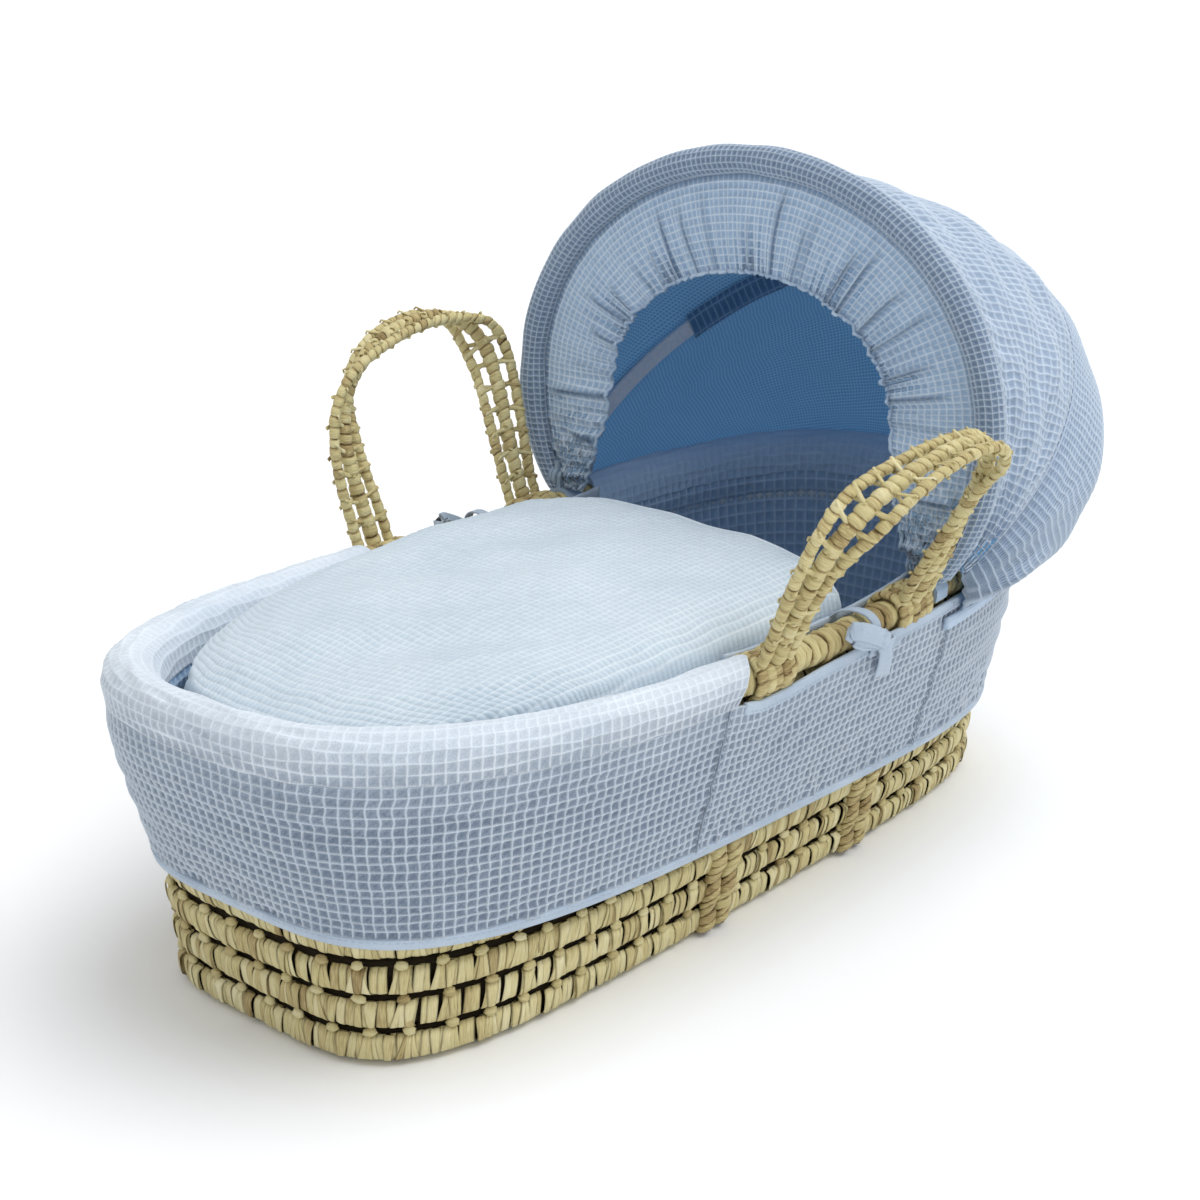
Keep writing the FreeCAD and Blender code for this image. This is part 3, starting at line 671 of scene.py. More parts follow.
def leaf_on_course(pile, course, rng, turns, low_shift, high_shift, low_half, high_half, proud):
    """Flat leaf strips down a course; shifts and half widths are millimetres at its bottom and top."""
    foot = 10.0 if course == 0 else 4.5
    count = len(turns)
    share = np.array([0.0, 0.09, 0.2, 0.4, 0.6, 0.8, 0.92, 1.0])[None, :]
    height = course * PITCH + 1.6 + (PITCH - 4.6) * share + 0 * turns[:, None]
    hidden = 2.6 if course > 2 else 0.0
    out = course_profile(share, foot) + proud - hidden + rng.uniform(-0.5, 0.5, count)[:, None]
    path, ahead, normal, _ = wall_frame(turns[:, None] + 0 * share, height, out)
    shift = low_shift[:, None] * (1 - share) + high_shift[:, None] * share
    path = path + ahead * shift[..., None]
    across = unit(ahead + normal * rng.normal(0.0, 0.09, count)[:, None, None])
    half = low_half[:, None] * (1 - share) + high_half[:, None] * share
    tone = 0.66 + 0.09 * rng.standard_normal(count) - 0.18 * (rng.random(count) < 0.12)
    ribbons(pile, path, across, normal, half, 0.45, tone)


def knots_on_gap(pile, height, turns, rng):
    """Wound knots in the gap between two courses."""
    count = len(turns)
    sunk = -3.4 if height > 3.5 * PITCH else -0.4
    centre, ahead, normal, up = wall_frame(turns, height + rng.uniform(-1.2, 0.4, count), sunk)
    tip = rng.normal(0.0, 0.18, count)[:, None]
    axes = np.stack([ahead + up * tip, normal, up - ahead * tip], 1)
    radii = np.stack([rng.uniform(4.2, 5.6, count), np.full(count, 3.2),
                      rng.uniform(2.9, 3.7, count)], -1)
    lumps(pile, centre, axes, radii, 0.6 + 0.1 * rng.standard_normal(count))


def knot_turns(gap):
    """Turns of the knots in the gap above a course; alternate gaps are half a pitch along."""
    height = (gap + 1) * PITCH
    count = int(even_turns(0.0, 2 * math.pi, 2, height)[1] / KNOT_PITCH)
    spots = even_turns(0.0, 2 * math.pi, count + 1, height)[0][:-1]
    rng = np.random.default_rng(300 + gap)
    spacing = 2 * math.pi / count
    return spots + (0.5 * spacing if gap % 2 else 0.0) + rng.normal(0.0, 0.05, count) * spacing


def palm_walls():
    around = ring_turns(240)
    for course in range(COURSES):
        rng = np.random.default_rng(11 + course)
        low, high = course * PITCH, (course + 1) * PITCH
        foot = 12.0 if course == 0 else 8.0
        pile = Pile()
        rows = [(low + 0.4, -foot), (low + 6.0, -3.6), (high - 7.0, -3.6), (high - 0.4, -8.0),
                (high, -12.0), (low, -12.0)]
        points = np.stack([oval(around, h, out) for h, out in rows], 1)
        # the backing under the strips is painted dark brown (tone -0.15): painted shade in the gaps
        # between strips
        pile.add(points, [grid_faces(len(around), len(rows), True, True)], tone=-0.15)
        above, below = knot_turns(course), knot_turns(course - 1)
        plain = np.sort(np.concatenate([above, below]) % (2 * math.pi))
        plain = plain + 0.5 * np.diff(np.append(plain, plain[0] + 2 * math.pi))
        count = len(plain)
        for step in (-2.8, 2.8):
            leaf_on_course(pile, course, rng, plain, step + rng.normal(0, 0.7, count),
                           step * 0.9 + rng.normal(0, 0.9, count), rng.uniform(3.2, 4.4, count),
                           rng.uniform(3.2, 4.4, count), -0.3)
        count = len(above)
        for spread in (-1.0, 1.0, 0.0):
            leaf_on_course(pile, course, rng, above, spread * rng.uniform(4.4, 6.6, count),
                           spread * rng.uniform(1.4, 2.4, count), rng.uniform(2.6, 4.2, count),
                           rng.uniform(1.3, 2.0, count), 0.5 - 0.3 * abs(spread))
        count = len(below)
        leaf_on_course(pile, course, rng, below, rng.normal(0, 0.5, count),
                       rng.normal(0, 1.4, count), rng.uniform(1.7, 2.6, count),
                       rng.uniform(4.2, 5.8, count), 1.1)
        if course < COURSES - 1:
            knots_on_gap(pile, high, above, rng)
        pile.make(f"palm_course_{course + 1}", PALM, "basket",
                  f"wall_course_{course + 1}")


def rim_roll():
    pile = Pile()
    centre, ahead, _, _ = wall_frame(ring_turns(320), ROLL_HEIGHT, -ROLL_INSET)
    # painted shade: the roll itself is dark brown (tone 0.1) where it shows between the wraps
    sweep(pile, centre, -np.cross(UP, ahead), like(UP, centre),
          round_corners(9.8, 9.8, 12)[::-1], True, tone=0.1)
    for side in SIDES.values():
        ends = [turn_at(x, ROLL_HEIGHT, side)[0] for x in (SLIT[0] - 12.0, SLIT[1] + 12.0)]
        middle, run, _, _ = wall_frame(np.linspace(*ends, 90), ROLL_HEIGHT, -ROLL_INSET)
        wrapped(pile, middle, unit(np.cross(run, UP)), like(UP, middle), (11.6, 11.6), 9.6,
                21 + int(side), 3.2, 0.58)
    pile.make("palm_rim_roll", PALM, "basket", "rim_roll")


# ---- bands, knots and handles


def handle_bands():
    """Two wound cords side by side up each wall and under the base."""
    heights = np.linspace(4.0, 200.0, 90)
    ripple = (np.sin(2 * math.pi * heights / PITCH - 1.4)
              * np.interp(heights, UNDER_SKIRT, [1.1, 0.0]))
    for end, place in BAND_PLACES.items():
        pile = Pile()
        for offset in (-9.0, 9.0):
            for side in SIDES.values():
                turns = turn_at(place + offset, heights, side)
                path, ahead, out, _ = wall_frame(
                    turns, heights, np.interp(heights, UNDER_SKIRT, [3.2, -1.4]))
                wrapped(pile, path + out * ripple[:, None], ahead, out, (7.0, 5.0), 7.6,
                        40 + int(side * 3 + offset), 3.4, 0.56)
            ys = np.linspace(-146.0, 146.0, 60)
            under = spread_out(place + offset, ys, 2.7)
            wrapped(pile, under, like(ALONG, under), like(UP, under), (7.0, 2.4), 9.0,
                    50 + int(offset), 2.4, 0.56)
        pile.make(f"palm_band_{end}", CORD, "basket", f"handle_band_{end}")


def leg_knots():
    """Lumpy wraps that lash each handle leg to the rim roll."""
    rng = np.random.default_rng(5)
    angles = np.radians(np.linspace(-68.0, 208.0, 15))[:, None]
    for side_name, side in SIDES.items():
        for end, place in BAND_PLACES.items():
            pile = Pile()
            for strand, offset in enumerate(np.linspace(-18.0, 18.0, 5)):
                turn = turn_at(place + offset, ROLL_HEIGHT, side)
                centre, ahead, _, _ = wall_frame(turn, ROLL_HEIGHT, -ROLL_INSET)
                flat = unit(np.cross(ahead, UP))
                outwards = flat if flat[0, 1] * side > 0 else -flat
                radius = 15.2 + rng.uniform(-0.9, 0.9)
                drift = rng.uniform(-3.0, 3.0) * np.linspace(-1, 1, 15)
                radial = outwards * np.cos(angles) + UP * np.sin(angles)
                path = centre + radial * radius + ahead * drift[:, None]
                wrapped(pile, path, like(ahead, path), radial, (5.0, 3.0), 9.5, 70 + strand, 1.0,
                        0.56)
            pile.make(f"palm_knot_{side_name}_{end}", CORD, "basket",
                      f"handle_knot_{side_name}_{end}")


def handle_line(side, step):
    foot, head = BAND_PLACES["foot"], BAND_PLACES["head"]
    reach, lean = HANDLES[side]
    turn = math.pi * step
    rise = np.sin(turn) ** 0.62
    x = 0.5 * (foot + head) - 0.5 * (head - foot) * np.cos(turn) - 12.0 * np.sin(2 * turn)
    x = x + 34.0 * np.sin(turn) ** 2
    return np.stack([x, SIDES[side] * (208.0 + lean * rise), 241.0 + reach * rise], -1)


def handle_frame(side):
    """Points along a handle with unit vectors along it, across it and out of its flat face."""
    step = 0.5 - 0.5 * np.cos(np.linspace(0.0, math.pi, 160))
    here = handle_line(side, step)
    ahead = unit(handle_line(side, np.minimum(step + 0.002, 1.0))
                 - handle_line(side, np.maximum(step - 0.002, 0.0)))
    turn = math.pi * step
    wide = np.stack([np.cos(turn), SIDES[side] * np.sin(turn), 0 * turn], -1)
    wide = unit(wide - ahead * (wide * ahead).sum(-1, keepdims=True))
    return here, ahead, wide, np.cross(ahead, wide)


def lacing(pile, frames, low, high, seed):
    """Leaf-shaped strips that cross between two cords, front and back, every 20 mm or so."""
    here, _, wide, face = frames
    rng = np.random.default_rng(seed)
    run = run_of(here)
    count = int(run[-1] / 19.5)
    spots = (np.arange(count) + 0.5) * run[-1] / count
    share = np.linspace(0.0, 1.0, 9)
    across = low + (high - low) * (0.5 - 0.5 * np.cos(math.pi * share))
    over = 1.2 + 5.0 * np.abs(2 * share - 1) ** 0.8
    over[0] = over[-1] = 3.4
    for front in (-1.0, 1.0):
        places = spots[:, None] + front * 9.0 * (share - 0.5) + rng.normal(0, 0.8, count)[:, None]
        places = np.clip(places, 0.0, run[-1])
        facing = sample(face, run, places)
        path = (sample(here, run, places) + sample(wide, run, places) * across[:, None]
                + facing * (front * over + 0.5)[:, None])
        way = unit(np.gradient(path, axis=1))
        normal = unit(facing * front)
        normal = unit(normal - way * (normal * way).sum(-1, keepdims=True))
        half = 0.9 + 1.2 * hump(share) ** 0.7
        half = half[None, :] * rng.uniform(0.8, 1.1, count)[:, None]
        tone = 0.66 + 0.13 * rng.standard_normal(count)
        ribbons(pile, path, np.cross(way, normal), normal, half, 1.0, tone)


def handles():
    cords = [(-16.6, 4.3), (0.0, 5.9), (16.6, 4.3)]
    for side, sign in SIDES.items():
        frames = handle_frame(side)
        here, _, wide, face = frames
        down = np.array([[0.0, -sign * 8.0, -17.0], [0.0, -sign * 4.5, -10.0],
                         [0.0, -sign * 1.0, -3.0]])
        across, faces = (np.concatenate([np.repeat(way[:1], 3, 0), way, np.repeat(way[-1:], 3, 0)])
                         for way in (wide, face))
        for cord, (offset, radius) in enumerate(cords):
            pile = Pile()
            path = here + wide * offset
            path = np.concatenate([path[:1] + down, path, path[-1:] + down[::-1]])
            seed = 90 + cord + (10 if side == "far" else 0)
            wrapped(pile, path, across, faces, (radius * 1.04, radius * 0.98), 8.6, seed, 1.9, 0.64)
            piece = pile.make(f"wound_{side}_cord_{cord + 1}", CORD, None,
                              f"handle_{side}_cord_{cord + 1}")
            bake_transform(piece)
        pile = Pile()
        lacing(pile, frames, -20.0, 4.5, 3)
        lacing(pile, frames, 20.0, -4.5, 4)
        pile.make(f"leaf_lacing_{side}", CORD, f"handle_{side}",
                  f"handle_{side}_lacing")


# ---- skirt, pads, lining


def skirt_tilt(height):
    """The hem is tilted along the basket, and the top is level."""
    return SKIRT_TILT * (SKIRT_TOP - height) / (SKIRT_TOP - SKIRT_FOOT)


def skirt_out(height):
    return (np.interp(height, SKIRT_HEIGHTS, SKIRT_OUT_X) + 3.8,
            np.interp(height, SKIRT_HEIGHTS, SKIRT_OUT_Y) + 3.8)


def slit_top(x):
    """Height of the skirt's edge along the basket: lowest at the foot end of the slit."""
    share = (x - SLIT[0]) / (SLIT[1] - SLIT[0])
    stops = [-0.06, 0.0, 0.05, 0.15, 0.3, 0.5, 0.9, 1.0]
    return np.interp(share, stops, [SKIRT_TOP, 205.0, 202.6, 203.4, 207.4, 209.4, 208.8, SKIRT_TOP])


def skirt_place(first, last):
    """Surface of a skirt panel between two seams, given as (place along, side), and its length."""
    heights = np.linspace(80.0, 210.0, 14)
    low, high = (turn_at(x, heights, side) + (2 * math.pi if side < 0 else 0.0)
                 for x, side in (first, last))
    if high[0] < low[0]:
        low = low - 2 * math.pi
    walk, length = even_turns(low[7], high[7], 400, heights[7], 10.0)
    shares = np.linspace(0.0, 1.0, 400)

    def turn_of(u, height):
        turn = np.interp(u, shares, walk)
        turn = turn + (1 - u) * (np.interp(height, heights, low) - low[7])
        return turn + u * (np.interp(height, heights, high) - high[7])

    def place(u, v):
        height = SKIRT_FOOT + (SKIRT_TOP - SKIRT_FOOT) * v
        spot = oval(turn_of(u, height), height, 10.0)
        top = np.where(np.abs(spot[..., 1]) > 120.0, slit_top(spot[..., 0]), SKIRT_TOP)
        height = SKIRT_FOOT + (top - SKIRT_FOOT) * v
        out_x, out_y = skirt_out(height)
        fold = 0.7 * waves(u, v, 17, 2.0, 7.0) * hump(v)
        low_rows = clamp((0.35 - v) / 0.35)
        fold = fold + 1.1 * low_rows * waves(u, 0.2 * v, 23, 9.0, 26.0)
        return oval(turn_of(u, height), height, out_x + fold, out_y + fold, skirt_tilt(height))

    return place, length


def sewn_tape(name, node, paint, path, up, out, section, seam, turned=1.0, closed=False,
              ridge=0.8, thread=0.42):
    """Tape along a path with a row of stitches; seam is how far out and up they lie."""
    pile = Pile()
    sweep(pile, path, up, out * turned, section, closed, ridge=ridge)
    stitches(pile, path + out * seam[0] + up * seam[1], out, thread)
    pile.make(name, paint, "basket", node)


def skirt():
    panels = {
        "skirt_foot_panel": ((SEAMS[0], 1.0), (SEAMS[0], -1.0)),
        "skirt_panel_near": ((SEAMS[0], -1.0), (SEAMS[1], -1.0)),
        "skirt_head_panel": ((SEAMS[1], -1.0), (SEAMS[1], 1.0)),
        "skirt_panel_far": ((SEAMS[1], 1.0), (SEAMS[0], 1.0)),
    }
    rows = np.linspace(0.0, 1.0, 40)
    for seed, (name, (first, last)) in enumerate(panels.items()):
        place, length = skirt_place(first, last)
        pile = Pile()
        waffle(pile, place, (max(4, int(round(length / CELL))), 17), 2.0, 3.0, seed=100 + 10 * seed,
               fade=lambda u, v: np.interp(v, [0.7, 1.0], [1.0, 0.8]))
        for edge in (0.0, 1.0):
            line = place(np.full(40, edge), rows)
            along = unit(place(np.full(40, abs(edge - 0.003)), rows) - line)
            normal = unit(line * np.array([1.0, 1.0, 0.0]))
            sweep(pile, line + normal * 0.3, along, np.cross(way_of(line), along),
                  round_corners(0.7, 0.7, 8), ridge=0.3)
            stitches(pile, line + normal * 0.9 + along * 2.6, normal)
        piece = pile.make(f"cloth_{name}", SKIRT, "basket", name)
    turns = ring_turns(420)
    tilt = skirt_tilt(HEM)
    centre = oval(turns, HEM, 3.6, 8.8, tilt)
    rise = unit(oval(turns, 89.0, 4.4, 9.4, tilt) - oval(turns, 77.0, 2.8, 8.2, tilt))
    out = np.cross(unit(np.roll(centre, -1, 0) - np.roll(centre, 1, 0)), rise)
    sewn_tape("skirt_hem_tape", "skirt_hem_binding", TAPE, centre, rise, out,
              tape_section(8.0, 3.4), (1.8, 2.2), -1.0, True, thread=0.34)


def slit_bindings():
    lining_edge = [(-14.0, -1.2), (-14.0, 1.2), (3.0, 1.4), (6.2, 1.7), (7.0, 0.0), (6.2, -1.7),
                   (3.0, -1.4)]
    for name, side in SIDES.items():
        xs = np.linspace(SLIT[0] - 6.0, SLIT[1] + 6.0, 120)
        height = slit_top(xs) - 2.0
        turns = np.array([turn_at(x, h, side)[0] for x, h in zip(xs, height)])
        out_x, out_y = skirt_out(height)
        path = oval(turns, height, out_x - 1.0, out_y - 1.0)
        ahead = way_of(path)
        out = unit(np.cross(ahead, UP))
        out = out * np.sign(out[:, 1:2] * side)
        up = unit(np.cross(out, ahead))
        up = up * np.sign(up[:, 2:3])
        sewn_tape(f"slit_tape_{name}", f"skirt_slit_binding_{name}", TAPE, path, up, out,
                  tape_section(9.0, 3.6)[::int(side)], (1.9, -2.4))
        xs = np.linspace(SLIT[0] + 2.0, SLIT[1] - 2.0, 100)
        turns = np.array([turn_at(x, 226.0, side)[0] for x in xs])
        path = oval(turns, 226.0 - 6.0 * np.sin(math.pi * np.linspace(0, 1, 100)) ** 0.7, -24.3)
        out = unit(np.cross(way_of(path), UP))
        out = out * np.sign(out[:, 1:2] * side)
        sewn_tape(f"lining_tape_{name}", f"lining_slit_binding_{name}", TAPE, path, like(UP, path),
                  out, lining_edge[::-int(side)], (1.7, 2.8), ridge=0.7)


PAD_OUT = np.array([(-9.8, 13.0), (4.0, 13.2), (14.0, 8.0), (20.0, -2.0), (20.0, -10.0),
                    (14.5, -20.0), (4.0, -25.6), (-9.8, -26.0)])
PAD_IN = np.array([(-9.8, 9.2), (2.0, 8.8), (9.5, 6.0), (13.5, -2.0), (13.5, -9.0),
                   (10.0, -16.5), (2.0, -21.6), (-9.8, -22.6)])


def section_at(corners, share):
    """Point of a smooth section through corners, share 0 to 1."""
    run = run_of(corners)
    run = run / run[-1]
    fine = np.linspace(0.0, 1.0, 200)
    kernel = np.ones(21) / 21
    found = []
    for axis in (0, 1):
        line = np.interp(fine, run, corners[:, axis])
        padded = np.concatenate([2 * line[0] - line[10:0:-1], line, 2 * line[-1] - line[-2:-12:-1]])
        found.append(np.interp(share, fine, np.convolve(padded, kernel, "valid")))
    return found


def rim_pads():
    foot_end, head_end = (turn_at(x, PAD_HEIGHT, 1.0)[0] for x in (SLIT[0] - 0.5, SLIT[1] + 0.5))
    spans = {"foot": (foot_end, 2 * math.pi - foot_end), "head": (-head_end, head_end)}
    shares = np.linspace(0.0, 1.0, 400)
    for seed, (end, span) in enumerate(spans.items()):
        walk, length = even_turns(*span, 400, PAD_HEIGHT)

        def surface(corners, soft):
            def place(u, v):
                up, out = section_at(corners, v)
                puff = soft * (0.9 * waves(u, v, 31 + seed, 2.0, 9.0)
                               + 0.5 * waves(u, 0.3 * v, 37, 14.0, 30.0))
                ends = np.minimum(u, 1 - u) * length
                up = up + puff * clamp(ends / 18.0)
                slant = np.interp(v, [0.0, 0.5, 1.0], [16.0, -5.0, -5.0])
                slant = slant * clamp(1 - ends / 40.0)
                along = np.where(u < 0.5, u, 1 - u) + slant / length
                along = np.where(u < 0.5, along, 1 - along)
                turn = np.interp(along, shares, walk)
                turn = turn + np.minimum(along, 0.0) * (walk[1] - walk[0]) * 399
                turn = turn + np.maximum(along - 1.0, 0.0) * (walk[-1] - walk[-2]) * 399
                return oval(turn, ROLL_HEIGHT + up, out + 0.4 * puff * clamp(v / 0.2))
            return place

        pile = Pile()
        waffle(pile, surface(PAD_OUT, 0.8), (int(round(length / CELL)), 11), 1.9, seed=140 + seed,
               under=surface(PAD_IN, 0.0),
               fade=lambda u, v: np.interp(v, [0.0, 0.15, 0.35, 0.6, 0.8, 1.0],
                                           [0.8, 0.6, 0.3, 0.16, 0.4, 0.6]))
        piece = pile.make(f"padded_rim_{end}", PAD if end == "foot" else LINING, "basket",
                          f"rim_pad_{end}")


def lining():
    walk, length = even_turns(0.0, 2 * math.pi, 800, 120.0, -14.0)
    shares = np.linspace(0.0, 1.0, 800)
    heights = np.array([12.0, 186.0, 199.0, 207.0, 212.0])
    outs = np.array([-16.5, -16.5, -25.6, -25.4, -24.2])

    def place(u, v):
        height = 212.0 - 200.0 * v
        sag = 1.6 * np.abs(np.sin(18 * math.pi * u + 1.3 * np.sin(8 * math.pi * u)) * hump(v))
        return oval(np.interp(u, shares, walk), height, np.interp(height, heights, outs) - sag)

    pile = Pile()
    waffle(pile, place, (int(length / 9.0), 21), 1.6, 2.2, ring=True, seed=160)
    piece = pile.make("cloth_lining", LINING, "basket", "lining")


def ties():
    """Tape tied over the rim roll: strap, two flattened loops, two tails and a knot."""
    strands = [
        ([(0, 201.0, 15.8), (0, 213.0, 16.2), (0, 226.0, 13.0), (0, 233.5, 5.0), (0, 235.5, -6.0),
          (0, 233.5, -18.0), (0, 226.0, -26.5), (0, 216.0, -28.0)], 9.5, 1.8, 0.0, 26),
        ([(6, 217.0, 17.5), (0, 216.0, 22.0), (-10, 222.0, 21.0), (-24, 229.0, 16.0),
          (-34, 231.0, 9.0), (-28, 226.0, 13.0), (-12, 218.0, 19.0), (0, 214.0, 20.0)],
         14.0, 1.6, 0.5, 40),
        ([(4, 216.0, 18.5), (-8, 217.0, 22.0), (-22, 222.0, 18.0), (-30, 223.0, 13.0),
          (-20, 218.0, 17.0), (0, 213.0, 19.0)], 11.0, 1.6, -0.4, 40),
        ([(0, 214.0, 19.0), (5, 206.0, 22.0), (12, 194.0, 21.0), (17, 180.0, 19.0)],
         13.0, 1.6, 0.35, 26),
        ([(2, 214.0, 18.0), (10, 212.0, 20.0), (22, 206.0, 18.0), (30, 200.0, 16.0)],
         10.0, 1.6, 0.3, 26),
    ]
    rings, columns = 12, 16
    lat = np.linspace(0.05, math.pi - 0.05, rings)[:, None]
    lon = ring_turns(columns)
    knot = ball(lat, lon, 1.0 + 0.08 * np.cos(3 * lon + 1.0) * np.sin(lat) + 0.07 * np.cos(5 * lat))
    tilted = [[1.0, 0.0, 0.35], [0.0, 1.0, 0.0], [-0.35, 0.0, 1.0]]
    knot = (knot * [8.0, 6.0, 6.5]).reshape(-1, 3) @ tilted
    caps = [np.arange(columns)[None, :], ((rings - 1) * columns + np.arange(columns))[None, ::-1]]
    for name, side in SIDES.items():
        pile = Pile()

        def spot(along, height, out):
            return oval(turn_at(TIE_PLACE + along, ROLL_HEIGHT, side)[0], height, out)

        for stops, width, deep, twist, total in strands:
            stops = np.array([spot(*stop) for stop in stops])
            run = run_of(stops)
            path = sample(stops, run, np.linspace(0.0, run[-1], total))
            for _ in range(3):
                path[1:-1] = 0.25 * path[:-2] + 0.5 * path[1:-1] + 0.25 * path[2:]
            way = way_of(path)
            wide = unit(ALONG - way * way[:, :1])
            wide = unit(np.where(np.abs(way[:, :1]) > 0.8, UP - way * way[:, 2:], wide))
            face = np.cross(way, wide)
            lean = np.linspace(0.0, twist, total)[:, None]
            sweep(pile, path, wide * np.cos(lean) + face * np.sin(lean),
                  face * np.cos(lean) - wide * np.sin(lean), tape_section(width, deep), ridge=0.75)
        pile.add(spot(1, 215.0, 19.0) + knot, [grid_faces(rings, columns, False, True), *caps],
                 ridge=0.75)
        pile.make(f"tie_tape_{name}", TAPE, "basket", f"tie_{name}")


# ---- mattress and coverlet


def mattress():
    levels = [(10.0, 0.90), (10.4, 0.97), (14.0, 1.0), (42.0, 1.0), (46.5, 0.985), (48.0, 0.95)]
    levels += [(48.2, share) for share in (0.8, 0.6, 0.4, 0.2, 0.02)]
    total, corner, quilted = 220, 98.0, 45.0
    turns = ring_turns(total)
    ring = np.stack([corner * np.cos(turns) + (353.0 - corner) * np.sign(np.cos(turns)),
                     corner * np.sin(turns) + (123.0 - corner) * np.sign(np.sin(turns))], -1)
    rows = []
    for height, share in levels:
        x, y = ring.T * share
        quilt = 1.2 * (np.abs(np.sin(math.pi * x / 58.0)) - 1.0) * (height > quilted)
        rows.append(np.stack([x, y, height + quilt], -1))
    pile = Pile()
    pile.add(np.stack(rows, 0), [grid_faces(len(levels), total, False, True, True),
                                 np.arange(total)[None, ::-1],
                                 ((len(levels) - 1) * total + np.arange(total))[None, :]], ridge=0.5)
    out = unit(np.column_stack([ring, np.zeros(total)]))
    for height in (13.5, 44.5):
        path = np.column_stack([ring * 1.004, np.full(total, height)])
        sweep(pile, path, out, like(UP, path), round_corners(1.6, 1.6, 8), True, ridge=1.0)
    piece = pile.make("mattress_ticking", TICKING, "mattress", "mattress_cover")


def coverlet():
    half_x, half_y, power, head = 396.0, 172.0, 2.75, 72.0
    reaches = [0.0, 0.45, 0.62, 0.78, 0.88, 0.95, 1.0]
    heights = [271.0, 268.5, 265.0, 259.0, 250.5, 238.0, 196.0]

    def surface(drop, pull):
        def place(u, v):
            a = -1.0 + (1.0 + head / half_x) * u
            b = 1.0 - 2.0 * v
            bend = clamp(-a * 1.5)
            x = half_x * a * (1 - bend * np.abs(b) ** power / 2) ** (1 / power)
            y = half_y * b * (1 - np.abs(np.minimum(a, 0.0)) ** power / 2) ** (1 / power)
            reach = np.abs(np.minimum(x, 0.0) / half_x) ** power + np.abs(y / half_y) ** power
            reach = clamp(reach ** (1 / power))
            foot = clamp((-x - 250.0) / 140.0)
            z = np.interp(reach, reaches, heights) - 7.0 * foot**1.5
            soft = clamp((1.0 - reach) / 0.3)
            z = z + soft * (1.6 * waves(u, v, 61, 0.6, 2.4) + 0.8 * waves(u, v, 62, 2.0, 5.0))
            edge = clamp((u - 0.93) / 0.07)
            return np.stack([x * pull, y * pull, z - 5.0 * edge**2 - drop], -1)
        return place

    over, under = surface(0.0, 1.0), surface(13.0, 0.965)
    pile = Pile()
    waffle(pile, over, (78, 68), 0.95, seed=180, under=under, sway=0.1)
    piece = pile.make("quilted_coverlet", COVERLET, "coverlet", "coverlet")
    rows = np.linspace(0.0, 1.0, 140)
    top, low = (face(np.full(140, 1.0), rows) for face in (over, under))
    path = 0.5 * (top + low) + ALONG
    up = unit(top - low)
    out = np.cross(way_of(path), up)
    out = out * np.sign(out[:, 0:1])
    section = [(-7.6, -2.5), (-7.6, 2.0), (-4.0, 4.2), (0.0, 5.0), (4.0, 4.2), (7.6, 2.0), (7.6, -2.5)]
    pile = Pile()
    sweep(pile, path, up, out, section, ridge=0.8)
    pile.make("coverlet_head_tape", COVERLET, "coverlet", "coverlet_head_binding")


# ---- hood

BRIM_TURNS = np.linspace(*bow_span("front", BRIM_START), 800)
BRIM_RUN = run_of(bow("front", BRIM_TURNS))
HOOD_CELLS = int(round(BRIM_RUN[-1] / CELL))


def inwards(points):
    """Directions from the hood's cloth towards the inside of the hood."""
    return unit((np.array([247.0, 0.0, 264.0]) - points) * np.array([0.8, 1.0, 1.0]))


def brim_turn(u, start):
    """Turn at a share of the front bow's length, from a start above the pivot line."""
    first, last = (np.interp(turn, BRIM_TURNS, BRIM_RUN) for turn in bow_span("front", start))
    return np.interp(first * (1 - u) + last * u, BRIM_RUN, BRIM_TURNS)


def brim():
    def on_brim(turns, angle, reach):
        return bow("front", turns, reach * np.cos(angle) - BRIM_INSET, reach * np.sin(angle))

    def roll(u, v):
        ends = clamp(np.minimum(u, 1 - u) / 0.05) ** 0.5
        puff = (12.0 + 0.5 * waves(u, v * 0 + 0.3, 71, 6.0, 20.0)) * (0.55 + 0.45 * ends)
        return on_brim(brim_turn(u, BRIM_START), 2 * math.pi * v + 0.6, puff)

    pile = Pile()
    waffle(pile, roll, (int(HOOD_CELLS * 1.5), 13), 1.3, 1.8, seed=200, flip=True)
    low, high = BRIM_TURNS[0], BRIM_TURNS[-1]
    walk = np.linspace(low + 0.05, high - 0.05, 400)
    for angle in (1.15, 1.6):
        seam = on_brim(walk, angle, 12.3)
        stitches(pile, seam, seam - bow("front", walk, -BRIM_INSET))
    walk = np.linspace(low, high, 300)
    piping = on_brim(walk, 1.38, 12.6)
    outward = unit(piping - bow("front", walk, -BRIM_INSET))
    sweep(pile, piping, np.cross(outward, way_of(piping)), outward,
          round_corners(2.2, 1.4, 8)[::-1], ridge=0.9)
    piece = pile.make("brim_cover", BRIM, "hood_front", "brim_roll")


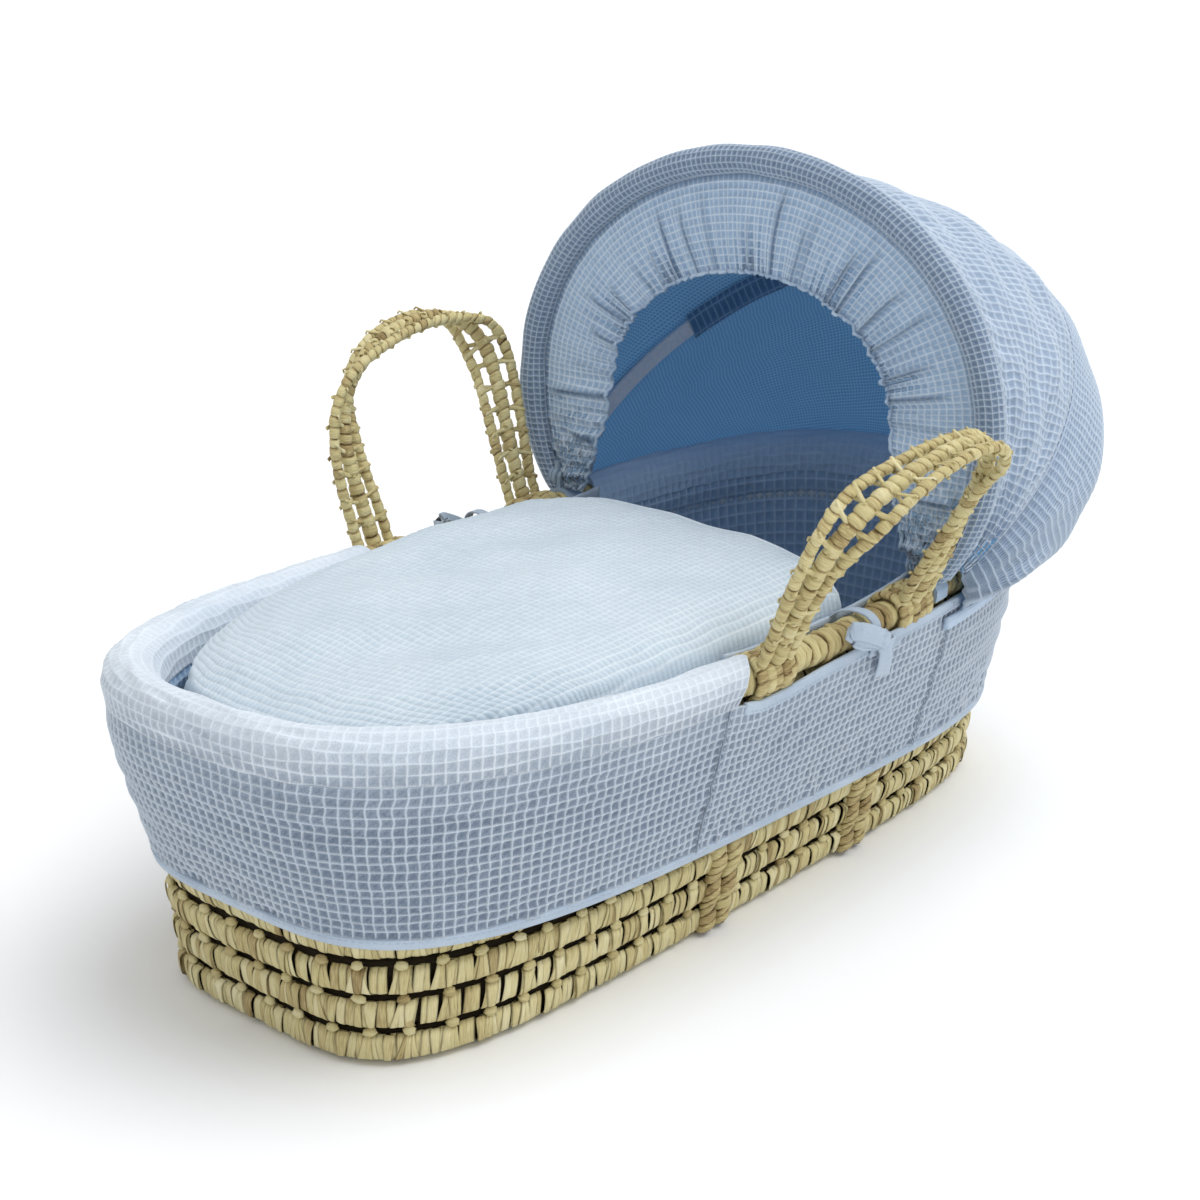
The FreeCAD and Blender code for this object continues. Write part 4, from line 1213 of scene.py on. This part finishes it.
def ruffle():
    """Gathered cloth inside the brim, with sharp creases, and the elastic at its edge."""
    rng = np.random.default_rng(87)
    count = 26
    creases = list(zip((np.arange(count) + rng.uniform(-0.38, 0.38, count) + 0.5) / count,
                       rng.uniform(1.2, 6.5, count), rng.uniform(0.0, 0.55, count),
                       rng.uniform(-0.006, 0.006, count)))

    def valleys(u, v, wide):
        for at, deep, start, lean in creases:
            valley = np.exp(-((u - at - lean * (1 - v)) / wide) ** 2)
            yield deep, valley * clamp((v - start) / 0.25)

    def place(u, v):
        ends = clamp(np.minimum(u, 1 - u) / 0.13)
        inset = 23.0 + 79.0 * v * (0.3 + 0.7 * ends * (2 - ends))
        out = 0.0 * u
        for deep, valley in valleys(u, v, 0.0048):
            out = out - deep * valley
        phase = 2 * math.pi * 64 * u + 3.0 * waves(u, 0 * v, 81, 3.0, 12.0, 6)
        pleats = (0.2 + 1.7 * v**1.6) * np.sin(phase)
        pleats = pleats + 0.9 * v * waves(u, 0.1 * v, 83, 6.0, 18.0, 6)
        scrunch = (1 - ends) * 2.6 * waves(u, 0.5 * v, 85, 30.0, 70.0)
        hollow = -4.0 * hump(v)
        return bow("front", brim_turn(u, -8.0), -inset, out + pleats + hollow + scrunch + 2.0)

    # painted shade: a dark band along the trough under the brim, and darkening in each crease valley
    def painted_fold_shade(u, v):
        dark = 0.9 * clamp(1 - v / 0.07) + 0.0 * u
        for deep, valley in valleys(u, v, 0.0034):
            dark = np.maximum(dark, min(1.0, deep / 3.4) * valley)
        return dark

    pile = Pile()
    waffle(pile, place, (int(HOOD_CELLS * 1.35), 12), 1.5, 2.8, seed=210, sway=0.0, crease=painted_fold_shade)
    piece = pile.make("gathered_ruffle", RUFFLE, "hood_front", "ruffle")
    edge = place(np.linspace(0.0, 1.0, 500), np.full(500, 1.0))
    edge = edge + 0.5 * np.random.default_rng(6).standard_normal(edge.shape)
    way = way_of(edge)
    aside = unit(np.cross(way, ALONG))
    pile = Pile()
    sweep(pile, edge, aside, np.cross(way, aside), round_corners(1.6, 1.3, 8), ridge=0.9)
    pile.make("drawn_elastic", ELASTIC, "hood_front", "ruffle_elastic")


def over_rear_bow(u):
    first, last = bow_span("rear", 6.0)
    return bow("rear", first + (last - first) * u, 12.0)


def gathers(u, seed, low, high, share):
    """Small gathers where cloth is sewn to an edge; share runs from 0 away from it to 1 at it."""
    return 1.5 * waves(u, 0.0 * u, seed, low, high) * clamp(share) ** 1.5


def canopies():
    """The hood's two lengths of cloth: between the bows, and from the rear bow to the hem."""
    first, last = bow_span("front", 3.0)

    def front(u, v):
        ahead = bow("front", first + (last - first) * u, -1.0, 7.0)
        p = ahead * (1 - v)[..., None] + over_rear_bow(u) * v[..., None]
        swell = 11.0 * hump(v**1.5) * hump(u) ** 0.5
        dip = -3.5 * np.exp(-((v - 0.1) / 0.08) ** 2)
        folds = 2.8 * waves(u, 0.5 * v, 91, 3.0, 10.0) * hump(v)
        gather = gathers(u, 95, 20.0, 40.0, 1 - v / 0.3) * clamp(v / 0.05)
        return p - inwards(p) * (swell + dip + folds + gather)[..., None]

    def rear(u, v):
        hem = oval(-math.acos(0.40) * (1 - 2 * u), 199.3, 20.5, 19.5)
        p = over_rear_bow(u) * (1 - v)[..., None] + hem * v[..., None]
        swell = 52.0 * hump(v) * hump(u) ** 0.4
        folds = 3.2 * waves(u, 0.3 * v, 97, 4.0, 11.0) * hump(v)
        gather = gathers(u, 98, 14.0, 30.0, (v - 0.6) / 0.4) * clamp((1 - v) / 0.04)
        return p - inwards(p) * (swell + folds + gather)[..., None]

    cloth = {"flip": True, "sway": 0.12, "lines": (1.0, 0.8)}
    pile = Pile()
    waffle(pile, front, (HOOD_CELLS, 18), 1.6, 3.0, seed=220, **cloth)
    piece = pile.make("canopy_front", HOOD, None, "front_canopy")
    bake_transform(piece)
    pile = Pile()
    waffle(pile, rear, (HOOD_CELLS, 40), 1.6, 3.0, seed=230, **cloth)
    seam = rear(np.linspace(0.004, 0.996, 500), np.full(500, 0.002))
    out = -inwards(seam)
    sweep(pile, seam - out * 0.4, np.cross(out, way_of(seam)), out,
          round_corners(1.6, 0.8, 8)[::-1], ridge=0.4)
    piece = pile.make("canopy_rear", HOOD, None, "rear_canopy")
    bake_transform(piece)


def hood():
    brim()
    ruffle()
    canopies()
    reach = turn_at(153.5, 195.0, 1.0)[0]
    path = oval(np.linspace(-reach, reach, 300), 194.6, 18.6, 17.8)
    out = np.cross(way_of(path), UP)
    sewn_tape("hood_hem_tape", "hood_hem_binding", HOOD_TAPE, path, like(UP, path), out,
              tape_section(9.4, 4.0), (2.1, 2.4), -1.0)
    span = math.radians(64.0)

    def sleeve(u, v):
        angle = 2 * math.pi * v
        wide = 14.0 * np.sign(np.cos(angle)) * np.abs(np.cos(angle)) ** 0.6
        high = 3.2 * np.sin(angle) + 0.35 * waves(u, v * 0, 99, 4.0, 12.0)
        return bow("rear", math.pi / 2 - span + 2 * span * u, high - 1.2, wide)

    pile = Pile()
    waffle(pile, sleeve, (80, 6), 0.8, 1.6, seed=240)
    pile.make("strip_sleeve", SLEEVE, "hood_rear", "bow_sleeve")


# ---- what stays as CAD


def carried_nodes():
    paints = {"base_mat": PALM, "mattress_core": FOAM, "front_bow": WIRE, "rear_bow": STRIP}
    for side in SIDES:
        for part in ("bow_bracket", "front_hinge_plate", "rear_hinge_plate"):
            paints[f"{part}_{side}"] = PLASTIC
        paints[f"bow_pin_{side}"] = STEEL
    for name, paint in paints.items():
        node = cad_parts[name]
        node.data.materials.clear()
        node.data.materials.append(paint)


# ---- stage


def stage():
    def put(name, data):
        made = bpy.data.objects.new(name, data)
        bpy.context.scene.collection.objects.link(made)
        return made

    floor = bpy.data.meshes.new("floor")
    reach = 60.0
    corners = [(-reach, -reach, 0), (reach, -reach, 0), (reach, reach, 0), (-reach, reach, 0)]
    floor.from_pydata(corners, [], [(0, 1, 2, 3)])
    floor.materials.append(Paint("pale_floor", 0.9).colour(linear((246, 247, 248))))
    put("floor", floor)
    world = bpy.data.worlds.new("studio")
    world.use_nodes = True
    background = world.node_tree.nodes["Background"]
    background.inputs["Color"].default_value = WHITE
    background.inputs["Strength"].default_value = 0.7
    bpy.context.scene.world = world
    for name, direction, strength, spread in (
        ("window", (0.4, -0.35, 1.2), 1.7, 50.0),
        ("fill", (0.1, -1.5, 0.8), 0.3, 90.0),
    ):
        lamp = bpy.data.lights.new(name, "SUN")
        lamp.energy = strength
        lamp.angle = math.radians(spread)
        put(name, lamp).rotation_euler = Vector(direction).to_track_quat("Z", "Y").to_euler()
    lens = bpy.data.cameras.new("camera")
    lens.lens = 65.2
    lens.sensor_width = 36.0
    camera = put("camera", lens)
    camera.location = (-1.2364, -1.0464, 0.774)
    aim = Vector((-0.0416, -0.02115, 0.22846)) - camera.location
    camera.rotation_euler = aim.to_track_quat("-Z", "Y").to_euler()
    bpy.context.scene.camera = camera
    bpy.context.scene.view_settings.view_transform = "Standard"


palm_walls()
rim_roll()
handle_bands()
leg_knots()
handles()
skirt()
slit_bindings()
rim_pads()
lining()
ties()
mattress()
coverlet()
hood()
carried_nodes()
stage()
